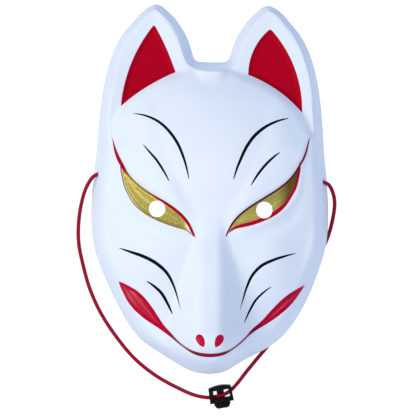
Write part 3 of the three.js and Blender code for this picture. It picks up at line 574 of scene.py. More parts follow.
def mouth_measures(signed_x, y):
    """Distance across the mouth line, half the mouth's width there, and how far out that is.

    The left corner is wider than the right one and turned up.
    """
    side = np.sign(signed_x)
    offset, along = nearest_on(MOUTH_PATH, from_mouth(signed_x), y)
    x = np.abs(MOUTH_PATH[0, 0] + along * (MOUTH_PATH[-1, 0] - MOUTH_PATH[0, 0]))
    turned = MOUTH_TURN["slope"] * (x - MOUTH_TURN["about"]) * between(x, MOUTH_TURN["span"])
    lean = 1 - MOUTH_LEAN["share"] * side * between(x, MOUTH_LEAN["span"])
    return offset + side * turned, lean * through(MOUTH_HALF_WIDTH, x), x


def past_mouth(signed_x, y):
    """How far a point lies beyond the outer end of the mouth's line."""
    end, run = MOUTH_PATH[-1], MOUTH_PATH[-1] - MOUTH_PATH[-3]
    return ((from_mouth(signed_x) - end[0]) * run[0] + (y - end[1]) * run[1]) / np.hypot(*run)


def mouth_carving(signed_x, y):
    across, half_width, x = mouth_measures(signed_x, y)
    half_width = np.maximum(half_width, MOUTH_CORNER["least"])
    corner = length_of(MOUTH_CORNER, x)
    lens = corner * np.minimum(half_width / MOUTH_CORNER["full"], 1)
    groove = bump(across, 0, MOUTH_GROOVE["width"]) * (1 - corner) * (1 - between(x, MOUTH_GROOVE["end"]))
    hollow = (1 - ease(np.abs(across / half_width) - MOUTH_HOLLOW["flat"])) * lens
    roundness = 1 - (across / (MOUTH_SPINDLE["width"] * half_width)) ** 2
    spindle = np.sqrt(np.maximum(roundness, 0)) * lens
    return (
        MOUTH_SPINDLE["height"] * spindle
        - MOUTH_GROOVE["depth"] * groove
        - MOUTH_HOLLOW["depth"] * hollow
    )


def nostril_reach(x, y):
    """Distance from a nostril's middle, 1 at its painted edge."""
    lean = math.radians(NOSTRIL["lean"])
    dx, dy = x - NOSTRIL["centre"][0], y - NOSTRIL["centre"][1]
    u = dx * math.cos(lean) - dy * math.sin(lean)
    v = dx * math.sin(lean) + dy * math.cos(lean)
    return np.hypot(u / (NOSTRIL["half"][0] + NOSTRIL["flare"] * v), v / NOSTRIL["half"][1])


def rim_height(y):
    """The rim lifts off the rest plane along the cheeks, where the cord passes under it."""
    return RIM_ARCH["height"] * between(-y, RIM_ARCH["cheek"]) * (1 - between(-y, RIM_ARCH["chin"]))


def face_height(signed_x, y, inset):
    """Height of the front skin at a point that lies inset inside the outline."""
    x = np.abs(signed_x)
    leaned_y = y + EAR_LEAN * signed_x
    plate, panel = ear_surface(signed_x, leaned_y)
    dome_edge = plate - DOME["foot_drop"] + DOME["rise"] * dome_inset(x, leaned_y)
    dome = smooth_min(face_surface(x, y), dome_edge, DOME["blend"])
    front = smooth_max(dome, panel, EAR_BLEND)
    side = rim_height(y) + through(SIDE_SLOPE, y) * np.maximum(inset, 0)
    skin = smooth_min(side, front, through(SIDE_ROUNDING, y))
    nostril = NOSTRIL["depth"] * (1 - between(nostril_reach(x, y), NOSTRIL_EDGE))
    return skin + mouth_carving(signed_x, y) - nostril


def rim_outline():
    """Closed outline of the rim, anticlockwise from the dip, fitted to the mask's length."""
    half = np.array(HALF_OUTLINE, float)
    curve = smooth_curve(np.vstack([half * (-1, 1), half[-2:0:-1]]), closed=True)
    points = evenly_spaced(curve, OUTLINE_POINTS, closed=True)
    low, high = points[:, 1].min(), points[:, 1].max()
    points[:, 1] = (points[:, 1] - low) * FACE_LENGTH / (high - low) - FACE_LENGTH / 2
    points[:, 0] -= drawn_in(*points.T)
    return points


def drawn_in(x, y):
    left, right = (DRAWN_IN[side]["by"] * bump(y, *DRAWN_IN[side]["y"]) for side in ("left", "right"))
    return np.sign(x) * by_side(x, left, right) * between(np.abs(x), DRAWN_IN_START)


def inward_directions(outline):
    """Inward directions along the outline, evened out so that rings set in from it never cross."""
    run = np.roll(outline, -1, 0) - np.roll(outline, 1, 0)
    normals = np.stack([-run[:, 1], run[:, 0]], 1) / np.linalg.norm(run, axis=1)[:, None]
    step = np.linalg.norm(outline[1] - outline[0])
    reach = math.ceil(3 * DIRECTION_SPAN / step)
    offsets = np.arange(-reach, reach + 1)
    weights = bump(offsets * step, 0, DIRECTION_SPAN * math.sqrt(2))
    total = sum(weight * np.roll(normals, -k, 0) for k, weight in zip(offsets, weights))
    return total / np.linalg.norm(total, axis=1)[:, None]


class FaceGrid:
    """Places the points of a rectangular grid over the outlined shape of the face."""

    def __init__(self):
        self.outline = rim_outline()
        self.directions = inward_directions(self.outline)
        self.coarse = self.outline[::OUTLINE_SKIP]
        step = np.linalg.norm(self.outline[1] - self.outline[0])
        self.tip = int(np.argmax(self.outline[: OUTLINE_POINTS // 2, 1]))
        self.cheek = OUTLINE_POINTS / 2 - CHIN_SPAN / step

    def along(self, line, place):
        place = np.mod(place, len(line))
        i = np.floor(place).astype(int) % len(line)
        t = (place - np.floor(place))[:, None]
        return line[i] * (1 - t) + line[(i + 1) % len(line)] * t

    def place(self, side, t):
        if side == "top":
            return self.tip * (1 - 2 * t)
        if side == "bottom":
            return self.cheek + (len(self.outline) - 2 * self.cheek) * t
        left = self.cheek + (self.tip - self.cheek) * t
        return left if side == "left" else -left

    def edges(self, columns, rows, inset, extra_inset):
        """Points on the four sides of the grid, set in from the outline."""
        edges = {}
        for side, count in (("left", rows), ("right", rows), ("bottom", columns), ("top", columns)):
            place = self.place(side, np.linspace(0, 1, count + 1))
            point = self.along(self.outline, place)
            depth = inset + extra_inset(point[:, 1])
            edges[side] = point + depth[:, None] * self.along(self.directions, place)
        return edges

    def inner(self, columns, rows, halvings, extra_inset):
        """The settled grid inside the edge rings, from a coarser one that is refined."""
        edges = self.edges(columns, rows, EDGE_RINGS[-1], extra_inset)
        if halvings:
            grid = refined(self.inner(columns // 2, rows // 2, halvings - 1, extra_inset))
        else:
            grid = coons_patch(edges, columns, rows)
        lay_edges(grid, edges, 0)
        for _ in range(SETTLING_ROUNDS):
            settle(grid)
        return grid

    def points(self, extra_inset):
        """All the grid's points, row by row from the chin."""
        grid = np.zeros((ROWS + 1, COLUMNS + 1, 2))
        for ring, inset in enumerate(EDGE_RINGS[:-1]):
            lay_edges(grid, self.edges(COLUMNS - 2 * ring, ROWS - 2 * ring, inset, extra_inset), ring)
        rings = len(EDGE_RINGS) - 1
        inner = self.inner(COLUMNS - 2 * rings, ROWS - 2 * rings, GRID_HALVINGS, extra_inset)
        grid[rings : ROWS - rings + 1, rings : COLUMNS - rings + 1] = inner
        return grid.reshape(-1, 2)

    def inset(self, x, y):
        return side_of(self.coarse, x, y, closed=True)


def lay_edges(grid, edges, ring):
    """Lays the four edges on the ring of the grid that lies so many steps in."""
    row, column = grid.shape[0] - 1 - ring, grid.shape[1] - 1 - ring
    grid[ring : row + 1, ring] = edges["left"]
    grid[ring : row + 1, column] = edges["right"]
    grid[ring, ring : column + 1] = edges["bottom"]
    grid[row, ring : column + 1] = edges["top"]


def refined(grid):
    """A grid with twice as many cells each way."""
    rows, columns = grid.shape[0] * 2 - 1, grid.shape[1] * 2 - 1
    fine = np.zeros((rows, columns, 2))
    fine[::2, ::2] = grid
    fine[1::2, ::2] = (grid[1:] + grid[:-1]) / 2
    fine[:, 1::2] = (fine[:, :-1:2] + fine[:, 2::2]) / 2
    return fine


def coons_patch(edges, columns, rows):
    """A grid blended from its four edges."""
    u = np.linspace(0, 1, columns + 1)[None, :, None]
    v = np.linspace(0, 1, rows + 1)[:, None, None]
    left, right = edges["left"], edges["right"]
    corners = (1 - u) * ((1 - v) * left[0] + v * left[-1]) + u * ((1 - v) * right[0] + v * right[-1])
    across = (1 - u) * left[:, None] + u * right[:, None]
    upward = (1 - v) * edges["bottom"][None] + v * edges["top"][None]
    return across + upward - corners


def settle(grid):
    """Moves each inner point to where the lines through it and its neighbours are smoothest."""
    left, right = grid[1:-1, :-2], grid[1:-1, 2:]
    below, above = grid[:-2, 1:-1], grid[2:, 1:-1]
    along_x, along_y = (right - left) / 2, (above - below) / 2
    a = (along_y**2).sum(2, keepdims=True)
    b = (along_x * along_y).sum(2, keepdims=True)
    c = (along_x**2).sum(2, keepdims=True)
    twist = (grid[2:, 2:] - grid[2:, :-2] - grid[:-2, 2:] + grid[:-2, :-2]) / 4
    even = (a * (left + right) + c * (below + above) - 2 * b * twist) / (2 * (a + c))
    grid[1:-1, 1:-1] += SETTLING_SHARE * (even - grid[1:-1, 1:-1])


def stroke_measures(x, y):
    """Offset from the nearest brush stroke's line, and half its width there, below 0 where there is none."""
    offset, width = (np.full(x.shape, NO_STROKE[measure]) for measure in ("offset", "half_width"))
    for half_width, widest, taper, points in STROKES:
        line = evenly_spaced(smooth_curve(points), STROKE_POINTS)
        distance, along = nearest_on(line, x, y)
        run = along ** (math.log(0.5) / math.log(widest))
        half = half_width * np.maximum(4 * run * (1 - run), 0) ** taper
        near = (np.abs(distance) < STROKE_REACH) & (np.abs(along - 0.5) < 0.5 - STROKE_ENDS)
        offset = np.where(near, distance, offset)
        width = np.where(near, half, width)
    return offset, width


def line_measures(line, lid, signed_x):
    """Offset from the middle of a lid's painted line, and half its width there."""
    x = np.abs(signed_x)
    middle, half = (
        by_side(signed_x, *(through(line[side][measure], x) for side in ("left", "right")))
        for measure in ("middle", "half")
    )
    return lid - middle, half


def extent(ends, signed_x, y):
    """1 along the part of a painted shape between its two ends, and 0 beyond them."""
    halves = (
        between(np.abs(signed_x), inner) * (1 - between(y, outer))
        for inner, outer in (ends["left"], ends["right"])
    )
    return by_side(signed_x, *halves)


def linear(*display):
    """A colour in linear light, from its display values of 0 to 255."""
    return tuple((value / 255) ** 2.2 for value in display)


def deselect_all():
    bpy.ops.object.select_all(action="DESELECT")


def select_only(piece):
    deselect_all()
    piece.select_set(True)
    bpy.context.view_layer.objects.active = piece


def apply_modifier(piece, kind, **settings):
    modifier = piece.modifiers.new(kind.lower(), kind)
    for setting, value in settings.items():
        setattr(modifier, setting, value)
    select_only(piece)
    bpy.ops.object.modifier_apply(modifier=modifier.name)


def combine(piece, other, operation):
    """Cuts the other object out of the piece, or joins it on, and removes it."""
    apply_modifier(piece, "BOOLEAN", operation=operation, solver="EXACT", object=other)
    bpy.data.objects.remove(other)


def added(name, add, **settings):
    """Adds an object by one of Blender's operators, by itself, and names it."""
    deselect_all()
    add(**settings)
    piece = bpy.context.object
    piece.name = name
    piece.data.name = name
    return piece


def grid_piece(name, columns, rows):
    return added(name, bpy.ops.mesh.primitive_grid_add, x_subdivisions=columns, y_subdivisions=rows, size=1)


def place_vertices(piece, points):
    piece.data.vertices.foreach_set("co", (points * MM).astype(np.float32).ravel())
    piece.data.update()


def vertex_points(piece):
    co = np.zeros(len(piece.data.vertices) * 3, np.float32)
    piece.data.vertices.foreach_get("co", co)
    return co.reshape(-1, 3).astype(float) / MM


def applied(piece):
    """The piece with its place, turn and scale taken into its mesh."""
    bpy.ops.object.transform_apply(location=True, rotation=True, scale=True)
    return piece


def block(name, low, high):
    """A box between two corners, in millimetres."""
    low, high = np.array(low, float), np.array(high, float)
    place, scale = (low + high) / 2 * MM, (high - low) * MM
    return applied(added(name, bpy.ops.mesh.primitive_cube_add, size=1, location=place, scale=scale))


def drill_bar(drill, radius, centre):
    """A cylinder to drill with, at its centre in millimetres."""
    bar = added(
        "bar",
        bpy.ops.mesh.primitive_cylinder_add,
        vertices=drill["sides"],
        radius=radius,
        depth=drill["length"] * MM,
        location=np.array(centre) * MM,
        rotation=(0, math.radians(drill["turn"]), 0),
    )
    return applied(bar)


def finish_piece(piece, angle, slot, body, *nodes):
    """Smooths the piece, puts it on its body and hides the nodes that it stands for. Its slot is not used."""
    select_only(piece)
    bpy.ops.object.shade_smooth_by_angle(angle=math.radians(angle))
    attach(piece, body)
    if nodes:
        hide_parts(*nodes)
    return piece


# The shell

def skin_heights(grid, points):
    x, y = points.T
    return face_height(x, y, grid.inset(x, y))


def upward_parts(points):
    """How far each grid point's normal leans up, from 0 on a wall to 1 on the flat."""
    surface = points.reshape(ROWS + 1, COLUMNS + 1, 3)
    normals = np.cross(np.gradient(surface, axis=1), np.gradient(surface, axis=0))
    return (normals[..., 2] / np.linalg.norm(normals, axis=2)).ravel()


def shell_points(wall):
    """Points of the front skin, and of the back skin a wall behind it."""
    grid = FaceGrid()
    row, column = np.divmod(np.arange((ROWS + 1) * (COLUMNS + 1)), COLUMNS + 1)
    rim = (row == 0) | (row == ROWS) | (column == 0) | (column == COLUMNS)

    def lean_of_wall(y):
        slope = through(SIDE_SLOPE, y)
        return wall * np.hypot(1, slope) / slope

    outer = grid.points(np.zeros_like)
    inner = grid.points(lean_of_wall)
    front = np.column_stack([outer, skin_heights(grid, outer)])
    back = np.column_stack([inner, skin_heights(grid, inner)])
    back[:, 2] -= wall / np.maximum(upward_parts(back), LEAST_FACING)
    for skin in (front, back):
        skin[rim, 2] = rim_height(outer[rim, 1])
    return np.vstack([front, back])


def paint_measures(piece):
    """Stores on each vertex how it lies to the painted shapes, in millimetres."""
    signed_x, y, _ = vertex_points(piece).T
    x = np.abs(signed_x)
    upper, lower = side_of(UPPER_LID_LINE, x, y), side_of(LOWER_LID_LINE, x, y)
    pairs = {
        "mouth": mouth_measures(signed_x, y)[:2],
        "stroke": stroke_measures(signed_x, y),
        "upper_line": line_measures(UPPER_LINE, upper, signed_x),
        "lower_line": line_measures(LOWER_LINE, lower, signed_x),
    }
    measures = {
        "eye_top": -upper,
        "mouth_past": past_mouth(signed_x, y),
        "gold_extent": extent(GOLD_ENDS, signed_x, y),
        "lower_line_extent": extent(LOWER_LINE_ENDS, signed_x, y),
        "nostril_reach": nostril_reach(x, y),
    }
    for name, (offset, half_width) in pairs.items():
        measures[name + "_offset"] = offset
        measures[name + "_half_width"] = half_width
    for side, inset in ear_insets(signed_x, y + EAR_LEAN * signed_x).items():
        measures["ear_" + side] = inset
    for name, values in measures.items():
        attribute = piece.data.attributes.new(name, "FLOAT", "POINT")
        attribute.data.foreach_set("value", values.astype(np.float32))


def model_shell(sizes):
    """The shell as a grid doubled by Solidify, moved to the points of its two skins and drilled."""
    shell = grid_piece("painted_mask_shell", COLUMNS, ROWS)
    apply_modifier(shell, "SOLIDIFY", thickness=sizes.wall, offset=-1)
    place_vertices(shell, shell_points(sizes.wall / MM))
    for side in (-1, 1):
        centre = (side * EYE_HOLE[0], EYE_HOLE[1], EYE_DRILL["height"])
        combine(shell, drill_bar(EYE_DRILL, sizes.eye_hole_radius, centre), "DIFFERENCE")
    for centre in CORD_HOLES:
        combine(shell, drill_bar(CORD_DRILL, sizes.cord_hole_radius, centre), "DIFFERENCE")
    paint_measures(shell)
    return shell


# The head cord

def along_frames(path):
    """Unit vectors across a path, carried along it without twist."""
    tangents = np.gradient(path, axis=0)
    tangents /= np.linalg.norm(tangents, axis=1)[:, None]
    across = np.cross(tangents[0], (0, 0, 1.0))
    sides = []
    for tangent in tangents:
        across = across - tangent * (across @ tangent)
        across /= np.linalg.norm(across)
        sides.append(across)
    sides = np.array(sides)
    return sides, np.cross(tangents, sides)


def braided_tube(name, path, radius, sides):
    """A closed tube along a path, with the low ridges of a round braid. Its UV runs round and along."""
    steps = len(path) - 1
    run = np.concatenate([[0], np.cumsum(np.linalg.norm(np.diff(path, axis=0), axis=1))])
    side, up = along_frames(path)
    angle = np.linspace(0, 2 * math.pi, sides + 1)
    turn = run[:, None] / BRAID["pitch"] * 2 * math.pi
    left, right = (np.cos(BRAID["strands"] * (angle[None] + sign * turn)) for sign in (-1, 1))
    reach = radius - BRAID["relief"] * (1 - np.maximum(left, right))
    points = (
        path[:, None]
        + (reach * np.cos(angle))[..., None] * side[:, None]
        + (reach * np.sin(angle))[..., None] * up[:, None]
    )
    tube = grid_piece(name, sides, steps)
    place_vertices(tube, points.reshape(-1, 3))
    select_only(tube)
    bpy.ops.object.mode_set(mode="EDIT")
    bpy.ops.mesh.select_all(action="SELECT")
    bpy.ops.mesh.remove_doubles(threshold=SEAM_DISTANCE * MM)
    bpy.ops.mesh.fill_holes(sides=0)
    bpy.ops.mesh.select_all(action="SELECT")
    bpy.ops.mesh.normals_make_consistent(inside=False)
    bpy.ops.object.mode_set(mode="OBJECT")
    return tube


def knot_path(centre, outward):
    """The three loops of a knot round the cord's line."""
    t = np.linspace(0, 2 * math.pi, KNOT["steps"] + 1)
    along = -outward * KNOT["depth"] * np.sin(3 * t)
    across = KNOT["scale"] * (np.sin(t) + 2 * np.sin(2 * t))
    upward = KNOT["scale"] * (np.cos(t) - 2 * np.cos(2 * t))
    return np.array(centre) + np.stack([along, across, upward], 1)


def model_cord(diameter):
    """The cord's tube, with the points that it follows and its length. Its tails show behind the knots."""
    left_tail, right_tail = (
        (x - math.copysign(KNOT["tail"], x), y, z) for x, y, z in (CORD_ROUTE[0], CORD_ROUTE[-1])
    )
    curve = smooth_curve([left_tail, *CORD_ROUTE, right_tail])
    length = np.linalg.norm(np.diff(curve, axis=0), axis=1).sum()
    path = evenly_spaced(curve, round(length / CORD_STEP) + 1)
    return braided_tube("braided_head_cord", path, diameter / 2, CORD_SIDES), path, length


def model_knot(name, end, outward, diameter):
    x, y, z = end
    path = knot_path((x - outward * KNOT["inward"], y, z), outward)
    return braided_tube(name, path, diameter / 2 * KNOT["squeeze"], KNOT["sides"])


# The cord lock

def in_lock_place(piece):
    """Turns a piece of the lock to its place, in its mesh."""
    turn = Matrix.Rotation(math.radians(LOCK["turn"]), 4, "Z")
    shift = Matrix.Translation(Vector((*LOCK["centre"], 0)) * MM)
    piece.data.transform(shift @ turn)
    piece.data.update()
    return piece


def select_faces(piece, test):
    """Selects in edit mode the faces whose centre and normal pass the test."""
    select_only(piece)
    bpy.ops.object.mode_set(mode="EDIT")
    bpy.ops.mesh.select_mode(type="FACE")
    bpy.ops.mesh.select_all(action="DESELECT")
    bpy.ops.object.mode_set(mode="OBJECT")
    for face in piece.data.polygons:
        face.select = bool(test(face.center / MM, face.normal))
    bpy.ops.object.mode_set(mode="EDIT")


def round_edges(piece, width, angle, segments=3):
    """Rounds every edge that turns by more than the angle."""
    apply_modifier(
        piece,
        "BEVEL",
        width=width * MM,
        segments=segments,
        limit_method="ANGLE",
        angle_limit=math.radians(angle),
    )


def lock_cuts():
    """Lower and upper corner of each block that is cut out of the lock's frame."""
    bottom_x, bottom_y = LOCK_CORNER["bottom"]
    (left, right), (low, high) = LOCK_WINDOW["x"], LOCK_WINDOW["y"]
    face, side, window = CUT_PAST["face"], bottom_x + CUT_PAST["side"], CUT_PAST["window"]
    slot_low, slot_high = (LOCK_SLOT["z"] + s * LOCK_SLOT["width"] / 2 for s in (-1, 1))
    sleeve_low, sleeve_high = (LOCK_SLOT["z"] + s * LOCK_SLEEVE["thickness"] / 2 for s in (-1, 1))
    sleeve, pocket = LOCK_SLEEVE["half_width"], LOCK_POCKET["half_width"]
    return {
        "window": ((left, low, -face), (right, high, LOCK["thickness"] + face)),
        "left_slot": ((-side, LOCK_SLOT["bottom"], slot_low), (0, LOCK_SLOT["left_top"], slot_high)),
        "right_slot": ((0, LOCK_SLOT["bottom"], slot_low), (side, LOCK_SLOT["right_top"], slot_high)),
        "sleeve": ((-sleeve, bottom_y - face, sleeve_low), (sleeve, low + window, sleeve_high)),
        "pocket": ((-pocket, high - window, sleeve_low), (pocket, LOCK_POCKET["top"], sleeve_high)),
    }


def model_lock_frame():
    """The frame, narrower and crowned at its top, with its cuts and a lowered face inside a border."""
    (bottom_x, bottom_y), (top_x, top_y) = LOCK_CORNER["bottom"], LOCK_CORNER["top"]
    thickness = LOCK["thickness"]
    lock = block("lock_frame", (-bottom_x, bottom_y, 0), (bottom_x, top_y, thickness))
    select_only(lock)
    bpy.ops.object.mode_set(mode="EDIT")
    for x in np.linspace(-bottom_x, bottom_x, LOCK_COLUMNS + 1)[1:-1]:
        bpy.ops.mesh.select_all(action="SELECT")
        bpy.ops.mesh.bisect(plane_co=(x * MM, 0, 0), plane_no=(1, 0, 0))
    bpy.ops.object.mode_set(mode="OBJECT")
    points = vertex_points(lock)
    upward = (points[:, 1] - bottom_y) / (top_y - bottom_y)
    points[:, 0] *= 1 + (top_x / bottom_x - 1) * upward
    points[:, 1] += upward * (LOCK_CORNER["crown"] - top_y) * (1 - (points[:, 0] / top_x) ** 2).clip(0)
    place_vertices(lock, points)

    for name, (low, high) in lock_cuts().items():
        cutter = block("cutter", low, high)
        if name in LOCK_ROUNDING:
            round_edges(cutter, LOCK_ROUNDING[name], ROUND_ANGLE["cutter"], 4)
        combine(lock, cutter, "DIFFERENCE")

    lowest = thickness - LOCK_FACE["drop"]
    select_faces(lock, lambda centre, normal: normal.z > SQUARE_FACING and centre.z > lowest)
    bpy.ops.mesh.inset(thickness=LOCK_FACE["border"] * MM, depth=-LOCK_FACE["drop"] * MM)
    bpy.ops.object.mode_set(mode="OBJECT")
    round_edges(lock, LOCK_ROUNDING["edges"], ROUND_ANGLE["lock"])
    return in_lock_place(lock)


def model_button():
    """The button, drawn out ring by ring towards its end, and the hook that holds the cord."""
    half_z = LOCK_SLEEVE["thickness"] / 2 - BUTTON_GAP
    middle, start = LOCK_SLOT["z"], BUTTON["top"]
    low, high = middle - half_z, middle + half_z
    rings = [
        (BUTTON[part][1] + y, BUTTON[part][0] - narrower, half_z - thinner)
        for part, steps in BUTTON_RINGS.items()
        for y, narrower, thinner in steps
    ]
    first_y, half_x, _ = rings[0]
    button = block("lock_button", (-half_x, first_y, low), (half_x, start, high))
    select_faces(button, lambda centre, normal: normal.y < -SQUARE_FACING)
    for (y0, x0, z0), (y1, x1, z1) in zip(rings, rings[1:]):
        bpy.ops.mesh.extrude_region_move(TRANSFORM_OT_translate={"value": (0, (y1 - y0) * MM, 0)})
        bpy.ops.transform.resize(value=(x1 / x0, 1, z1 / z0), center_override=(0, y1 * MM, middle * MM))
    bpy.ops.object.mode_set(mode="OBJECT")
    hook, (bar_low, bar_high) = HOOK["half_width"], HOOK["bar"]
    back = block("hook_back", (-hook, start - HOOK["overlap"], low), (hook, bar_high, HOOK["back_top"]))
    bar = block("hook_bar", (-hook, bar_low, low), (hook, bar_high, high))
    combine(button, back, "UNION")
    combine(button, bar, "UNION")
    round_edges(button, BUTTON_ROUNDING, ROUND_ANGLE["button"])
    return in_lock_place(button)


# Materials

class Socket:
    """One output of a material's nodes. Sums, products and comparisons of these add the nodes they need."""

    def __init__(self, finish, output):
        self.finish = finish
        self.output = output

    def math(self, operation, *values):
        inputs = dict(enumerate((self, *values)))
        return self.finish.node("ShaderNodeMath", {"operation": operation}, inputs)

    def __add__(self, other):
        return self.math("ADD", other)

    __radd__ = __add__

    def __mul__(self, other):
        return self.math("MULTIPLY", other)

    __rmul__ = __mul__

    def __sub__(self, other):
        return self.math("SUBTRACT", other)

    def __rsub__(self, other):
        return (self * -1) + other

    def __truediv__(self, other):
        return self.math("DIVIDE", other)

    def least(self, other):
        return self.math("MINIMUM", other)

    def most(self, other):
        return self.math("MAXIMUM", other)

    def size(self):
        return self.math("ABSOLUTE")

    def step(self, low, high):
        """Rises smoothly from 0 at low to 1 at high."""
        return self.finish.node(
            "ShaderNodeMapRange",
            {"interpolation_type": "SMOOTHSTEP"},
            {"Value": self, "From Min": low, "From Max": high},
        )


class Finish:
    """A material being made, node by node."""

    def __init__(self, name):
        self.material = bpy.data.materials.new(name)
        self.material.use_nodes = True
        self.shader = self.material.node_tree.nodes["Principled BSDF"]

    def node(self, kind, settings, inputs, output=0):
        node = self.material.node_tree.nodes.new(kind)
        for setting, value in settings.items():
            setattr(node, setting, value)
        for name, value in inputs.items():
            self.feed(node.inputs[name], value)
        return Socket(self, node.outputs[output])

    def feed(self, target, value):
        if isinstance(value, Socket):
            self.material.node_tree.links.new(value.output, target)
        else:
            target.default_value = value

    def surface(self, **inputs):
        for name, value in inputs.items():
            self.feed(self.shader.inputs[name.replace("_", " ")], value)
        return self.material

    def measure(self, name):
        return self.node("ShaderNodeAttribute", {"attribute_name": name}, {}, "Fac")

    def inside_line(self, name):
        """How far inside a painted line a point lies, in millimetres."""
        return self.measure(name + "_half_width") - self.measure(name + "_offset").size()

    def place(self):
        return self.node("ShaderNodeTexCoord", {}, {}, "Object")

    def split(self, vector):
        node = self.node("ShaderNodeSeparateXYZ", {}, {"Vector": vector}).output.node
        return [Socket(self, output) for output in node.outputs]

    def noise(self, vector, size, detail=2.0, roughness=0.5):
        """Noise of the given grain size in millimetres, from 0 to 1."""
        inputs = {"Vector": vector, "Scale": 1 / (size * MM), "Detail": detail, "Roughness": roughness}
        return self.node("ShaderNodeTexNoise", {}, inputs, "Fac")

    def blend(self, share, under, over):
        """The under colour, covered by the over colour as far as share says, on the node's colour sockets."""
        under, over = (value if isinstance(value, Socket) else (*value, 1) for value in (under, over))
        return self.node("ShaderNodeMix", {"data_type": "RGBA"}, {0: share, 6: under, 7: over}, 2)

    def bumps(self, relief, height):
        """Relief of the given height in millimetres."""
        inputs = {"Height": relief, "Distance": height * MM, "Strength": 1.0}
        return self.node("ShaderNodeBump", {}, inputs)


def toned(colour, share):
    """A colour made darker or lighter by a share of itself."""
    return tuple(share * part for part in colour)


